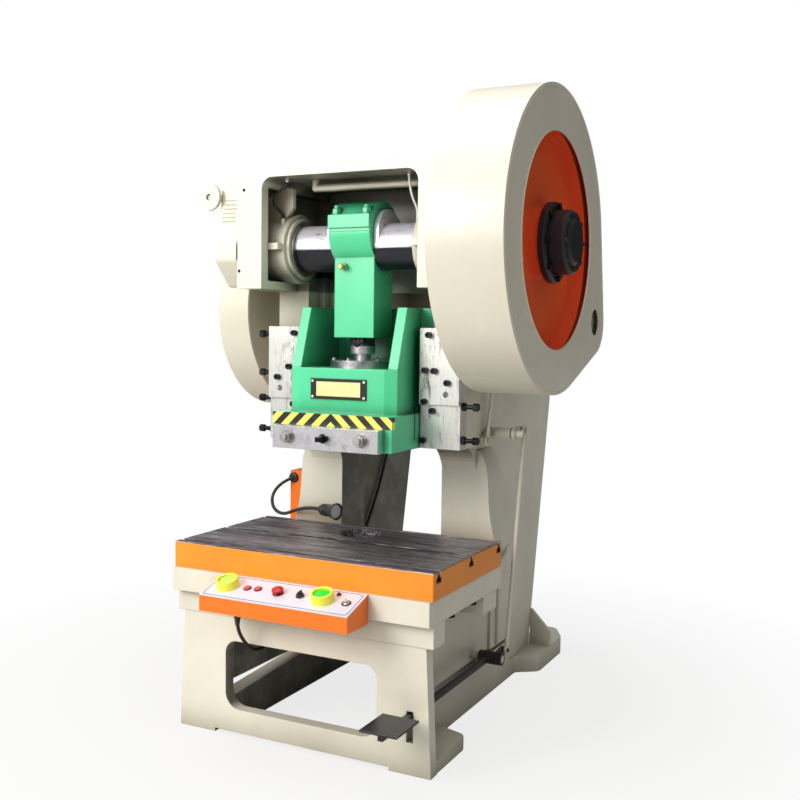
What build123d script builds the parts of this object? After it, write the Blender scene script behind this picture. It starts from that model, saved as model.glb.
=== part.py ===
"""Open-front mechanical stamping press: C-frame, geared crank drive, guided slide and pedal clutch.

Millimetres. X runs to the operator's right, Y to the back, Z up. The origin is on the floor,
in the middle of the four anchor bolts.
"""
from build123d import *
import math
import os

os.makedirs("parts", exist_ok=True)

# Clearances
face_gap = 0.3
running_gap = 0.06
bush_gap = 0.1
open_gap = 2.0
slide_gap = 3.0

# Table and bed
table_height = 660.0
table_width = 1000.0
table_depth = 574.0
table_thickness = 88.0
anchor_setback = 780.0
die_setback = 443.0
slot_inset = 40.0
slot_middle = 300.0
slot_back_inset = 26.0
slot_width = 22.0
slot_head_width = 38.0
slot_head_height = 16.0
slot_neck = 20.0
drop_radius = 75.0
drop_half = 150.0
bolt_inset = 30.0
bolt_setbacks = (190.0, 370.0)
bolster_bolt_radius = 12.0
bolster_bolt_across = 36.0
bolster_bolt_head = 15.0
thread_depth = 45.0
bed_thickness = 80.0
bed_margin = 5.0
bed_apron = 16.0
bed_tail = 240.0
bed_shoulder = 10.0
bed_waist = 112.65
table_front = -anchor_setback
table_back = table_front + table_depth
die_y = table_front + die_setback
bed_top = table_height - table_thickness
bed_bottom = bed_top - bed_thickness
bed_half = table_width / 2 - bed_margin
bed_front = table_front - bed_apron
bolt_x = table_width / 2 - bolt_inset
bolt_ys = [table_front + setback for setback in bolt_setbacks]
slot_ys = (table_front + slot_inset, table_front + slot_middle, table_back - slot_back_inset)

# Ram, from its face up: shank hole, ejector, knock-out bar and ball socket
stroke = 100.0
die_height = 332.0
shank_radius = 25.0
shank_depth = 70.0
ejector_radius = 9.0
ejector_reach = 22.0
bar_width = 24.0
bar_height = 26.0
bar_chamfer = 4.0
knockout_travel = 25.0
socket_web = 13.0
ball_radius = 48.0
ball_clearance = 12.0
ball_pocket_room = 14.0
socket_cover = 60.0
slide_half = 237.0
slide_reach = 225.0
slide_tail = 157.0
ledge_height = 122.0
block_reach = 160.0
block_inset = 24.0
bevel_depth = 20.0
bevel_width = 41.0
ear_height = 215.0
ear_thickness = 37.0
ear_reach = 71.0
back_plate = 22.0
relief_depth = 8.0
relief_width = 12.0
relief_ahead = 46.0
relief_rise = 30.0
slide_bottom = table_height + die_height
slot_bottom = slide_bottom + shank_depth + ejector_reach
slot_top = slot_bottom + bar_height + knockout_travel + open_gap
socket_floor = slot_top + socket_web
ball_height = socket_floor + ball_clearance + ball_radius
ball_pocket_half = ball_radius + ball_pocket_room
slide_ledge = slide_bottom + ledge_height
block_top = ball_height + socket_cover
ear_top = block_top + ear_height
slide_front = die_y - slide_reach
slide_back = die_y + slide_tail
block_front = die_y - block_reach
block_half = slide_half - block_inset
block_face_half = block_half - bevel_width

# Die clamp and its studs
clamp_inset = 29.0
clamp_proud = 46.0
clamp_cover = 9.0
clamp_joint = 1.0
stud_inset = 63.0
stud_rise = 42.0
stud_radius = 12.0
stud_depth = 40.0
stud_end = 32.0
washer_radius = 24.0
washer_thickness = 4.0
stud_nut_across = 36.0
stud_nut_height = 20.0
set_screw_radius = 10.0
set_screw_across = 30.0
set_screw_nut = 12.0
set_screw_end = 30.0
set_screw_web = 30.0
set_screw_gap = 10.0
set_screw_square = 18.0
set_screw_head = 14.0
clamp_half = slide_half - clamp_inset
clamp_front = slide_front - clamp_proud
clamp_back = die_y - clamp_joint
clamp_height = shank_depth + clamp_cover
stud_x = clamp_half - stud_inset
stud_z = slide_bottom + stud_rise

# Rating plate and socket cap
plate_half = 112.0
plate_x = -8.0
plate_rise = 47.0
plate_height = 72.0
plate_sheet = 3.0
plate_border = 22.0
plate_edge = 9.0
plate_screw_radius = 4.5
plate_screw_inset = 8.5
cap_height = 26.0
cap_radius = 118.0
cap_bolt_radius = 8.0
cap_bolt_inset = 14.0
cap_bolt_count = 6
screw_core = 30.0
screw_sway = 12.0

# Crank drive
crank_throw = stroke / 2
journal_radius = 84.0
pin_radius = 70.0
cheek_thickness = 18.0
rod_width = 166.0
rod_big_radius = 113.0
rod_shank_depth = 140.0
rod_shank_width = 160.0
rod_length = 540.0
rod_reach = 168.0
rod_shank_overlap = 30.0
screw_hold = 75.0
collar_radius = 45.0
collar_span = (110.0, 150.0)
screw_hex_across = 84.0
screw_hex_height = 30.0
cap_flange_low = 12.0
cap_flange_high = 59.0
rod_flange_half = 118.0
rod_bolt_x = 60.0
rod_bolt_y = 92.0
rod_bolt_radius = 10.0
rod_bolt_hold = 26.0
rod_bolt_end = 34.0
rod_nut_across = 30.0
rod_nut_height = 22.0
spot_radius = 19.0
pin_height = ball_height + rod_length
crank_height = pin_height - crank_throw
rod_bottom = ball_height + rod_reach
screw_top = rod_bottom + screw_hold

# Oil nipple on the rod
nipple_x = -38.0
nipple_drop = 122.0
nipple_radii = (14.0, 8.0, 10.0)
nipple_lengths = (10.0, 20.0, 8.0)
nipple_z = pin_height - nipple_drop

# Gibs
gib_width = 152.0
gib_height = 423.0
gib_reach = 10.0
gib_step = 14.0
gib_step_rise = 156.0
screw_head_radius = 11.0
screw_head_length = 15.0
screw_radius = 6.0
screw_depth = 38.0
screw_socket = 6.0
screw_socket_depth = 8.0
gib_screw_offsets = [
    (36.0, gib_height - 24), (109.0, 234.0), (24.0, 276.0), (59.0, 274.0),
    (22.0, 166.0), (47.0, 134.0), (14.0, 29.0),
]
adjuster_rises = (33.0, 151.0, 248.0, gib_height - 29)
adjuster_setback = 22.0
adjuster_radius = 8.0
adjuster_depth = 30.0
adjuster_end = 46.0
adjuster_nut_across = 26.0
adjuster_nut_height = 12.0
adjuster_head_across = 24.0
adjuster_head_start = 40.0
adjuster_head_height = 20.0
peep_radius = 11.0
peep_depth = 8.0
peep_place = (102.0, 192.0)
gib_inner = slide_half + slide_gap
gib_front = die_y - gib_reach
gib_top = slide_bottom + gib_height
gib_step_z = slide_bottom + gib_step_rise
adjuster_y = gib_front + adjuster_setback
screw_places = [(gib_inner + x, slide_bottom + z) for x, z in gib_screw_offsets]
adjuster_heights = [slide_bottom + rise for rise in adjuster_rises]

# Guides, columns and side plates
guide_reach = 47.0
rail_depth = 80.0
rail_reach = 22.0
guide_overlap = 52.0
way_gap = 12.0
way_back_gap = 14.0
way_front_gap = 5.0
cheek_step = 37.0
side_thickness = 60.0
column_lip = 79.0
column_setback = 103.0
column_depth = 183.0
arch_drop = 98.0
arch_reach = 40.0
arch_rise = 62.0
flank_gap = 25.0
flank_sections = [
    (0.0, 107.0, 433.0), (0.34, 73.0, 395.0), (0.69, 50.0, 306.0), (0.92, 33.0, 205.0), (1.0, 11.0, 168.0),
]
frame_back = 520.0
knee_reach = 210.0
knee_rise = 126.0
tail_reach = 255.0
neck_reach = 230.0
neck_drop = 72.0
side_toe = 250.0
heel_rise = 25.0
web_inset = 10.0
web_thickness = 25.0
lug_margin = 5.0
lug_ahead = 3.0
lug_depth = 120.0
lug_height = 68.0
bead_thickness = 12.0
bead_setback = 40.0
guide_bottom = slide_bottom
guide_front = die_y + guide_reach
guide_half = gib_inner + gib_width
rail_back = guide_front + rail_depth
rail_outer_x = gib_inner + rail_reach
slide_way_bottom = guide_bottom - stroke - way_gap
side_outer = guide_half - cheek_step
side_inner = side_outer - side_thickness
column_inner = side_inner - column_lip
column_front = table_back + column_setback
column_back = column_front + column_depth
column_top = guide_bottom - arch_drop
flank_height = guide_bottom - flank_gap - bed_bottom
knee_z = guide_bottom + knee_rise
tail_y = frame_back + tail_reach
web_outer = side_outer - web_inset

# Head
sharp_radius = 0.5
head_reach = 198.0
head_depth = 515.0
head_overhang = 23.0
head_below = 152.0
head_above = 272.0
head_corner = 60.0
head_wall = 45.0
head_roof = 31.0
rim_width = 106.0
rim_depth = 42.0
window_corner = 42.0
pocket_rim = 30.0
bush_wall = 16.0
boss_wall = 28.0
boss_inset = 47.0
boss_lip = 14.0
boss_outer_step = 8.0
boss_outer_length = 22.0
bush_reach = 22.0
boss_rib_inset = 6.0
boss_rib_drop = 10.0
boss_rib_thickness = 24.0
gusset_ahead = 75.0
gusset_thickness = 20.0
tie_radius = 14.0
tie_left = 165.0
tie_ahead = 63.0
tie_drop = 29.0
oil_stub_radius = 8.0
oil_stub_top = 106.0
oil_stub_ahead = 88.0
oil_stub_height = 26.0
left_stub_x = 290.0
right_stub_x = 255.0
right_stub_radius = 5.0
right_stub_top = 90.0
head_front = die_y - head_reach
head_back = head_front + head_depth
head_half = guide_half + head_overhang
head_bottom = crank_height - head_below
head_top = crank_height + head_above
window_half = head_half - rim_width
window_top = head_top - head_roof
wall_x = head_half - head_wall
guide_top = head_bottom + guide_overlap
bush_radius = journal_radius + bush_wall
boss_radius = bush_radius + boss_wall
boss_face = window_half - boss_inset
boss_outer_x = head_half + boss_outer_length
gusset_y = die_y - gusset_ahead
tie_y = die_y - tie_ahead
tie_z = window_top - tie_drop

# Motor deck and rear wall
deck_drop = 40.0
deck_thickness = 22.0
deck_reach = 120.0
wall_setback = 120.0
wall_thickness = 25.0
wall_rise = 82.0
deck_z = crank_height - deck_drop
deck_front = frame_back - deck_reach

# Base
base_beam_height = 76.0
base_beam_depth = 85.0
base_setback = 18.0
plate_setback = 3.0
plate_thickness = 45.0
leg_inset_top = 26.0
leg_inset_foot = 4.0
base_window_half = 296.0
base_window_drop = 84.0
base_window_bottom = 92.0
base_window_corners = [58.0, 44.0]
sill_lift = 12.0
sill_inset = 150.0
base_rail_cover = 7.0
base_rail_width = 62.0
base_rail_gap = 10.0
base_rail_fall = 40.0
base_rail_level = 50.0
front_foot_width = 126.0
front_foot_length = 245.0
front_foot_toe = 40.0
front_foot_corner = 46.0
front_foot_height = 42.0
rear_foot_width = 84.0
rear_foot_height = 70.0
rear_foot_step = 70.0
rear_foot_toe = 20.0
rear_foot_slope = 60.0
rear_foot_side = 170.0
rear_foot_end = 295.0
rear_foot_corners = [30.0, 40.0, 60.0, 50.0]
foot_gusset_setback = 12.0
foot_gusset_thickness = 16.0
foot_gusset_height = 150.0
foot_gusset_low = 62.0
foot_gusset_tip = 7.0
anchor_inset = 40.0
anchor_y = 620.0
anchor_radius = 14.0
base_half = bed_half
beam_bottom = bed_bottom - base_beam_height
base_front = table_front + base_setback
plate_front = base_front + plate_setback
plate_back = plate_front + plate_thickness
leg_half_top = base_half - leg_inset_top
leg_half_foot = base_half - leg_inset_foot
base_window_top = beam_bottom - base_window_drop
foot_rail_end = frame_back - side_toe - open_gap
rail_outer = side_outer + base_rail_cover
rail_inner = rail_outer - base_rail_width
foot_outer = rail_outer + front_foot_width
rear_foot_outer = rail_outer + rear_foot_width
anchor_x = rail_outer + anchor_inset

# Pedal, rocker and clutch latch
pedal_setback = 10.0
pedal_z = 194.0
pedal_pin_radius = 14.0
pedal_pin_reach = 125.0
pedal_hub_radius = 24.0
pedal_hub_length = 90.0
pedal_bar_inset = 64.0
pedal_bar_width = 18.0
pedal_bar_height = 18.0
pedal_bar_fall = 4.0
pedal_arm_inset = 30.0
pedal_reach = 185.0
pad_back_gap = 30.0
pad_side = (61.0, 66.0)
pad_thickness = 6.0
pad_lift = 5.0
pedal_slot_gap = 3.0
pedal_slot_drop = 89.0
pedal_slot_rise = 12.0
web_drop = 26.0
arm_thickness = 12.0
eye_thickness = 10.0
eye_radius = 17.0
eye_offset = 16.0
arm_end_radius = 14.0
pull_pin_radius = 6.0
pull_pin_length = 30.0
eye_room = 3.4
rear_rod_radius = 8.0
upper_rod_radius = 7.0
rear_rod_low = (63.0, 16.0)
rear_rod_high = (62.0, 9.0)
upper_rod_low = (-71.0, -23.0)
upper_rod_high = (68.0, -15.0)
rocker_setback = 23.0
rocker_rise = 43.0
rocker_radius = 14.0
rocker_hub_radius = 22.0
rocker_front_gap = 39.0
rocker_length = 94.0
rocker_end = 42.0
rocker_sleeve = 6.0
bearing_width = 29.0
bearing_back = 24.0
bearing_half = 26.0
latch_setback = 169.0
latch_drop = 135.0
latch_pin_radius = 12.0
latch_pin_length = 59.0
latch_gap = 47.0
latch_hub_radius = 22.0
latch_tooth = (97.0, -75.0, 11.0)
pedal_y = column_front + pedal_setback
web_bottom = pedal_z - web_drop
rail_top_back = web_bottom - base_rail_gap
rail_top_front = rail_top_back - base_rail_fall
pedal_pin_end = web_outer + pedal_pin_reach
pedal_bar_x = pedal_pin_end - pedal_bar_inset
pedal_arm_x = pedal_pin_end - pedal_arm_inset
pedal_tip_y = table_front - pedal_reach
pad_back = table_front - pad_back_gap
rocker_y = column_front + rocker_setback
rocker_z = guide_bottom + rocker_rise
rocker_front_x = side_outer + rocker_front_gap
rocker_rear_x = rocker_front_x + rocker_length
rocker_end_x = rocker_rear_x + rocker_end
latch_y = die_y + latch_setback
latch_z = crank_height - latch_drop
latch_pin_end = head_half + latch_pin_length
latch_arm_x = head_half + latch_gap
rear_low = (pedal_y + rear_rod_low[0], pedal_z + rear_rod_low[1])
rear_high = (rocker_y + rear_rod_high[0], rocker_z + rear_rod_high[1])
upper_low = (rocker_y + upper_rod_low[0], rocker_z + upper_rod_low[1])
upper_high = (latch_y + upper_rod_high[0], latch_z + upper_rod_high[1])
pin_clear = pull_pin_radius + eye_room

# Gear train
gear_module = 8.0
gear_teeth = 108
pinion_teeth = 20
gear_face = 110.0
gear_gap = 235.0
mesh_angle = 30.0
gear_rim = 60.0
gear_web_thickness = 26.0
gear_web_inset = 41.0
gear_ribs = 6
gear_rib_width = 20.0
gear_rib_inset = 12.0
root_share = 0.335
tip_share = 0.105
hub_radius = 120.0
hub_near_gap = 75.0
hub_far_gap = 285.0
crank_end_radius = 70.0
clutch_radius = 133.0
clutch_thickness = 26.0
clutch_bolt_inset = 14.0
clutch_bolt_radius = 6.0
clutch_bolt_head = 10.0
clutch_bolt_count = 8
end_cap_radius = 106.0
end_cap_length = 64.0
shaft_radius = 35.0
shaft_bush_wall = 20.0
shaft_boss_radius = 92.0
shaft_boss_inset = 12.0
shaft_boss_reach = 50.0
shaft_collar = 16.0
tooth_addendum = 0.8 * gear_module
tooth_dedendum = 1.1 * gear_module
gear_radius = gear_module * gear_teeth / 2
pinion_radius = gear_module * pinion_teeth / 2
gear_distance = gear_radius + pinion_radius
gear_x = head_half + gear_gap
gear_near_x = gear_x - gear_face / 2
gear_far_x = gear_x + gear_face / 2
gear_web_x = gear_near_x + gear_web_inset
rim_inner_radius = gear_radius - gear_rim
hub_near_x = head_half + hub_near_gap
hub_far_x = head_half + hub_far_gap
clutch_end_x = hub_far_x + clutch_thickness
clutch_bolt_circle = clutch_radius - clutch_bolt_inset
end_cap_x = clutch_end_x + end_cap_length
shaft_y = die_y + gear_distance * math.cos(math.radians(mesh_angle))
shaft_z = crank_height - gear_distance * math.sin(math.radians(mesh_angle))
shaft_bush_radius = shaft_radius + shaft_bush_wall
shaft_boss_x = side_outer + shaft_boss_reach

# Brake at the left end of the crank
drum_radius = 130.0
drum_gap = 29.0
drum_width = 48.0
drum_recess = 14.0
drum_rim = 18.0
drum_hub = 22.0
band_thickness = 9.0
band_inset = 2.0
band_mouth = 12.0
band_lug = 10.0
band_lug_reach = 40.0
cover_gap = 14.0
cover_sheet = 3.0
cover_fillet = 28.0
cover_outline_points = [
    (-118, -144), (-204, -50), (-204, 5), (-168, 160), (-163, 214), (-93, 265), (185, 265), (190, -144),
]
adjuster_gap = 39.0
adjuster_ahead = 179.0
adjuster_rise = 183.0
adjuster_disc_radius = 48.0
adjuster_disc_thickness = 14.0
adjuster_bar_half = 8.0
adjuster_bar_back = 100.0
drum_inner_x = -(head_half + drum_gap)
drum_outer_x = drum_inner_x - drum_width
cover_outer_x = drum_outer_x - cover_gap
adjuster_x = cover_outer_x - adjuster_gap
adjuster_disc_y = die_y - adjuster_ahead
adjuster_z = crank_height + adjuster_rise

# Flywheel, belts and motor
flywheel_radius = 300.0
flywheel_gap = 165.0
flywheel_face = 100.0
flywheel_rim = 48.0
flywheel_web = 24.0
flywheel_hub_radius = 70.0
flywheel_hole_radius = 46.0
flywheel_holes = 6
belt_count = 3
belt_width = 17.0
belt_height = 12.0
belt_section = 11.0
belt_pitch = 26.0
belt_proud = 1.0
groove_gap = 1.0
groove_taper = 0.66
pulley_radius = 60.0
pulley_margin = 5.0
motor_setback = 50.0
motor_radius = 130.0
motor_length = 430.0
motor_gap = 150.0
motor_barrel = 12.0
motor_cowl = 90.0
motor_flange = 46.0
motor_foot_lift = 6.0
motor_fins = 24
motor_fin_thickness = 5.0
motor_foot_x = (110.0, 100.0)
motor_foot_half = (32.0, 62.0)
motor_foot_top = 30.0
terminal_x = (150.0, 260.0)
terminal_half = 55.0
terminal_rise = 38.0
motor_shaft_radius = 19.0
motor_plate_height = 16.0
motor_plate_x = (75.0, 65.0)
motor_plate_y = (64.0, 230.0)
groove_depth = belt_height - belt_proud + face_gap
flywheel_x = -(head_half + flywheel_gap)
flywheel_near_x = flywheel_x + flywheel_face / 2
flywheel_far_x = flywheel_x - flywheel_face / 2
motor_left = flywheel_x + motor_gap
motor_right = motor_left + motor_length
motor_y = frame_back - motor_setback
motor_z = deck_z + motor_plate_height + motor_foot_lift + motor_radius

# Guards
guard_wall = 4.0
guard_near_gap = 65.0
guard_width = 250.0
guard_lift = 3.0
guard_room = 73.0
guard_lobe_room = 35.0
guard_rim = 17.0
guard_hole_room = 12.5
guard_hub_room = 8.0
guard_shaft_room = 25.0
guard_stub_radius = 18.0
guard_stub_y = (45.0, 50.0)
guard_stub_z = (52.0, 82.0)
wheel_guard_half = 68.0
wheel_guard_ahead = 46.0
wheel_guard_lift = 36.0
wheel_guard_room = 88.0
wheel_guard_lobe = 50.0
wheel_stub_radius = 16.0
wheel_stubs = [(194.0, -164.0), (144.0, 176.0)]
guard_near_x = head_half + guard_near_gap
guard_far_x = guard_near_x + guard_width
guard_z = crank_height + guard_lift
guard_radius = gear_radius + guard_room
guard_opening_radius = rim_inner_radius - guard_rim
guard_hole_radius = shaft_radius + guard_hole_room
wheel_guard_near_x = flywheel_x + wheel_guard_half
wheel_guard_far_x = flywheel_x - wheel_guard_half
wheel_guard_y = shaft_y - wheel_guard_ahead
wheel_guard_z = shaft_z + wheel_guard_lift
wheel_guard_radius = flywheel_radius + wheel_guard_room

# Control box
box_sheet = 3.0
box_reach = 148.0
box_drop = 2.0
box_fall = 41.0
box_height = 93.0
panel_thickness = 3.0
palm_v = 70.0
palm_x_left = -211.0
palm_guard_radius = 38.0
palm_guard_wall = 10.0
palm_guard_height = 30.0
palm_button_gap = 1.0
palm_button_low = 10.0
palm_button_high = 27.0
palm_stem_radius = 9.0
stop_radius = 20.0
stop_low = 10.0
stop_high = 22.0
stop_stem_radius = 8.0
knob_stem_radius = 7.0
stem_gap = 0.5
stem_depth = 16.0
selector_radius = 13.0
selector_height = 12.0
selector_grip = (8.0, 25.0, 20.0)
key_radius = 12.0
key_height = 6.0
key_grip = (3.0, 12.0, 17.0)
key_x = 239.0
key_margin = 41.0
palm_key_gap = 85.0
control_pitch = 84.0
lamp_radius = 14.0
lamp_bezel = 3.0
lamp_base = 4.0
lamp_height = 11.0
lamp_offsets = [(76.0, 2.0), (115.0, 6.0)]
small_lamp_radius = 8.0
small_lamp_offset = (-49.0, 42.0)
box_half = key_x + key_margin
box_front = table_front - box_reach
box_back = bed_front - face_gap
box_back_top = bed_top - box_drop
box_front_top = box_back_top - box_fall
box_bottom = box_back_top - box_height
palm_x_right = key_x - palm_key_gap
selector_x = palm_x_right - control_pitch
stop_x = selector_x - control_pitch

# Cabinet and work lamp
cabinet_gap = 71.0
cabinet_width = 134.0
cabinet_setback = 163.0
cabinet_depth = 400.0
cabinet_rise = 148.0
cabinet_height = 548.0
cabinet_sheet = 3.0
hinge_radius = 5.0
hinge_height = 30.0
hinge_out = 5.0
hinge_back = 6.0
handle_radius = 9.0
handle_length = 22.0
handle_inset = 40.0
lamp_arm_radius = 7.0
lamp_boss_radius = 22.0
lamp_boss_height = 10.0
lamp_route = [
    (-190, 153, 118), (-225, 118, 100), (-257, 93, 45), (-225, 58, -5), (-145, 13, -15),
    (-58, -27, 20), (25, -62, 42), (87, -83, 44),
]
lamp_bends = [20, 34, 34, 50, 70, 120]
lamp_cones = [(0, 15, 15, 16), (16, 23, 25, 58), (74, 25, 33, 26)]
cabinet_x = (-(side_outer + cabinet_gap + cabinet_width), -(side_outer + cabinet_gap))
cabinet_y = (column_front + cabinet_setback, column_front + cabinet_setback + cabinet_depth)
cabinet_z = (table_height + cabinet_rise - cabinet_height, table_height + cabinet_rise)
hinge_x = cabinet_x[0] - hinge_out
hinge_y = cabinet_y[1] + hinge_back
lamp_points = [(x - side_outer, y + column_front, z + table_height) for x, y, z in lamp_route]

# Oil pipes and cables
oil_pipe_radius = 5.0
pale_pipe_radius = 4.0
oil_bend = 12.0
oil_flange = 5.0
oil_flange_height = 12.0
left_oil_route = [
    (243, -133, 214), (270, -130, 206), (303, -125, 184), (312, -118, 156), (302, -103, 138), (290, -88, 124),
]
right_oil_route = [(233, -113, 212), (243, -107, 158), (254, -93, 126), (255, -88, 108)]
gland_radius = 11.0
gland_length = 20.0
throat_gland_length = 30.0
control_cable_radius = 6.0
cable_gland_x = -178.0
cable_gland_y = -856.0
control_cable_points = [
    (-178, -856, 457), (-178, -856, 430), (-180, -845, 398), (-184, -815, 362), (-189, -775, 327),
    (-193, -730, 302), (-190, -680, 300), (-184, -640, 330), (-178, -604, 378), (-174, -588, 430),
    (-174, -588, 472),
]
throat_cable_radius = 6.0
throat_cable_points = [
    (-285, 500, 1140), (-285, 500, 1050), (-284, 462, 962), (-286, 412, 864), (-285, 350, 738),
    (-284, 282, 640), (-286, 215, 548), (-285, 175, 500), (-285, 175, 443),
]
left_oil_points = [(-left_oil_route[0][0], die_y + left_oil_route[0][1], window_top)]
left_oil_points += [(-x, die_y + y, crank_height + z) for x, y, z in left_oil_route]
left_oil_points += [(-left_stub_x, die_y - oil_stub_ahead, crank_height + oil_stub_top)]
right_oil_points = [(right_oil_route[0][0], die_y + right_oil_route[0][1], window_top)]
right_oil_points += [(x, die_y + y, crank_height + z) for x, y, z in right_oil_route]
right_oil_points += [(right_stub_x, die_y - oil_stub_ahead, crank_height + right_stub_top)]


def block(x_span, y_span, z_span, mode=Mode.ADD):
    """Rectangular block between the given limits."""
    sizes = [high - low for low, high in (x_span, y_span, z_span)]
    middle = tuple((low + high) / 2 for low, high in (x_span, y_span, z_span))
    with Locations(middle):
        Box(*sizes, mode=mode)


def disc_x(radius, x_span, y, z, mode=Mode.ADD):
    """Cylinder along X between two X limits."""
    length = x_span[1] - x_span[0]
    with Locations(Location(((x_span[0] + x_span[1]) / 2, y, z), (0, 90, 0))):
        Cylinder(radius, length, mode=mode)


def disc_y(radius, x, y_span, z, mode=Mode.ADD):
    """Cylinder along Y between two Y limits."""
    length = y_span[1] - y_span[0]
    with Locations(Location((x, (y_span[0] + y_span[1]) / 2, z), (90, 0, 0))):
        Cylinder(radius, length, mode=mode)


def disc_z(radius, x, y, z_span, mode=Mode.ADD):
    """Cylinder along Z between two Z limits."""
    length = z_span[1] - z_span[0]
    with Locations((x, y, (z_span[0] + z_span[1]) / 2)):
        Cylinder(radius, length, mode=mode)


def hex_prism(plane, across, length):
    """Hexagon of the given width across flats, raised from a plane."""
    with BuildSketch(plane) as outline:
        RegularPolygon(across / 2, 6, major_radius=False)
    extrude(outline.sketch, amount=length)


def side_plane(x):
    """Plane facing +X, with its own X axis along Y."""
    return Plane.YZ.offset(x)


def front_plane(y):
    """Plane facing the operator, at the given Y."""
    return Plane.XZ.offset(-y)


def polygon_face(plane, points):
    """Closed straight-sided outline on a plane."""
    with BuildSketch(plane) as outline:
        Polygon(*points, align=None)
    return outline.sketch


def circle_hull(plane, circles):
    """Outline that wraps circles given as (y, z, radius)."""
    with BuildSketch(plane) as outline:
        for y, z, radius in circles:
            with Locations((y, z)):
                Circle(radius)
        make_hull()
    return outline.sketch


# C-frame: one casting, built as its right half and mirrored
with BuildPart() as c_frame:
    # head: an open box with a thick front rim
    with BuildSketch(front_plane(head_front)):
        with BuildLine():
            FilletPolyline(
                (0, head_bottom), (head_half, head_bottom), (head_half, head_top), (0, head_top),
                radius=[sharp_radius, head_corner],
            )
            Line((0, head_top), (0, head_bottom))
        make_face()
    extrude(amount=-head_depth)
    with BuildSketch(front_plane(head_front)):
        with BuildLine():
            FilletPolyline(
                (0, head_bottom - 1), (window_half, head_bottom - 1), (window_half, window_top),
                (0, window_top),
                radius=[sharp_radius, window_corner],
            )
            Line((0, window_top), (0, head_bottom - 1))
        make_face()
    extrude(amount=-(head_depth - head_wall), mode=Mode.SUBTRACT)
    pocket_x = (window_half - 1, wall_x)
    pocket_y = (head_front + rim_depth, head_back - head_wall)
    block(pocket_x, pocket_y, (head_bottom + pocket_rim, window_top - pocket_rim), Mode.SUBTRACT)
    # crank bearing boss with a shelf and a gusset that tie it to the head
    shelf_z = (crank_height - boss_rib_drop, crank_height - boss_rib_drop + boss_rib_thickness)
    block((boss_face + boss_rib_inset, wall_x), (pocket_y[0], die_y), shelf_z)
    gusset_points = [
        (boss_face - 6, window_top - 27), (boss_face - 7, window_top - 97),
        (boss_face + 38, crank_height + 90), (wall_x, crank_height + 90),
        (wall_x, window_top - 56), (boss_face + 21, window_top - 19),
    ]
    extrude(polygon_face(front_plane(gusset_y), gusset_points), amount=-gusset_thickness)
    disc_x(boss_radius, (boss_face, head_half), die_y, crank_height)
    disc_x(boss_radius - boss_lip, (boss_face - boss_lip, boss_face), die_y, crank_height)
    disc_x(boss_radius - boss_outer_step, (head_half, boss_outer_x), die_y, crank_height)
    # guide cheeks and columns
    with BuildSketch(side_plane(column_inner)):
        with BuildLine():
            Polyline(
                (guide_front, guide_bottom), (guide_front, guide_top), (column_back, guide_top),
                (column_back, bed_bottom), (column_front, bed_bottom), (column_front, column_top),
            )
            ThreePointArc(
                (column_front, column_top),
                (column_front - arch_reach, column_top + arch_rise),
                (guide_front, guide_bottom),
            )
        make_face()
    extrude(amount=side_outer - column_inner)
    block((side_outer, guide_half), (guide_front, column_front), (guide_bottom, guide_top))
    # side plates behind the columns
    side_points = [
        (column_back - 10, web_bottom), (frame_back - side_toe, web_bottom),
        (frame_back - side_toe, rear_foot_height), (frame_back - 5, rear_foot_height),
        (frame_back, rear_foot_height + heel_rise), (frame_back + knee_reach, knee_z), (tail_y, deck_z),
        (deck_front, deck_z), (head_back + neck_reach, head_top - neck_drop), (head_back - 40, window_top),
        (head_back - 40, head_bottom), (column_back - 10, head_bottom),
    ]
    extrude(polygon_face(side_plane(side_inner), side_points), amount=side_outer - side_inner)
    # flared flanks beside the columns
    for share, reach, run in flank_sections:
        with BuildSketch(Plane.XY.offset(bed_bottom + share * flank_height)):
            Polygon(
                (side_outer - 1, column_front), (side_outer + reach, column_front),
                (side_outer - 1, column_front + run),
                align=None,
            )
    loft()
    # bed: thick plate under the table, with side webs and a lug below it
    bed_points = [
        (0, bed_front), (bed_half, bed_front), (bed_half, table_back + bed_shoulder),
        (side_outer + bed_waist, column_front),
        (side_outer, frame_back - bed_tail), (side_inner, frame_back - bed_tail), (side_inner, column_back),
        (0, column_back),
    ]
    extrude(polygon_face(Plane.XY.offset(bed_bottom), bed_points), amount=bed_thickness)
    block((0, drop_half), (die_y - drop_half, die_y + drop_half), (bed_bottom, bed_top), Mode.SUBTRACT)
    web_x = (web_outer - web_thickness, web_outer)
    block(web_x, (base_front + base_beam_depth, column_back), (web_bottom, bed_bottom))
    lug_y = (die_y - lug_ahead, die_y - lug_ahead + lug_depth)
    block((web_outer, bed_half - lug_margin), lug_y, (bed_bottom - lug_height, bed_bottom))
    bead_y = (column_back + bead_setback, column_back + bead_setback + bead_thickness)
    block((side_outer, side_outer + bead_thickness), bead_y, (web_bottom + 10, bed_bottom))
    # motor deck and rear cross wall
    block((0, side_outer), (deck_front, tail_y), (deck_z - deck_thickness, deck_z))
    wall_y = (frame_back + wall_setback, frame_back + wall_setback + wall_thickness)
    block((0, side_inner), wall_y, (knee_z + wall_rise, deck_z - deck_thickness))
    # countershaft bearing bosses
    disc_x(shaft_boss_radius, (side_inner - shaft_boss_inset, shaft_boss_x), shaft_y, shaft_z)
    mirror(about=Plane.YZ)
    # tube across the head, turned up into its roof at the left
    disc_x(tie_radius, (-tie_left, wall_x), tie_y, tie_z)
    disc_z(tie_radius, -tie_left, tie_y, (tie_z, window_top + 1))
    with Locations((-tie_left, tie_y, tie_z)):
        Sphere(tie_radius)
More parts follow.
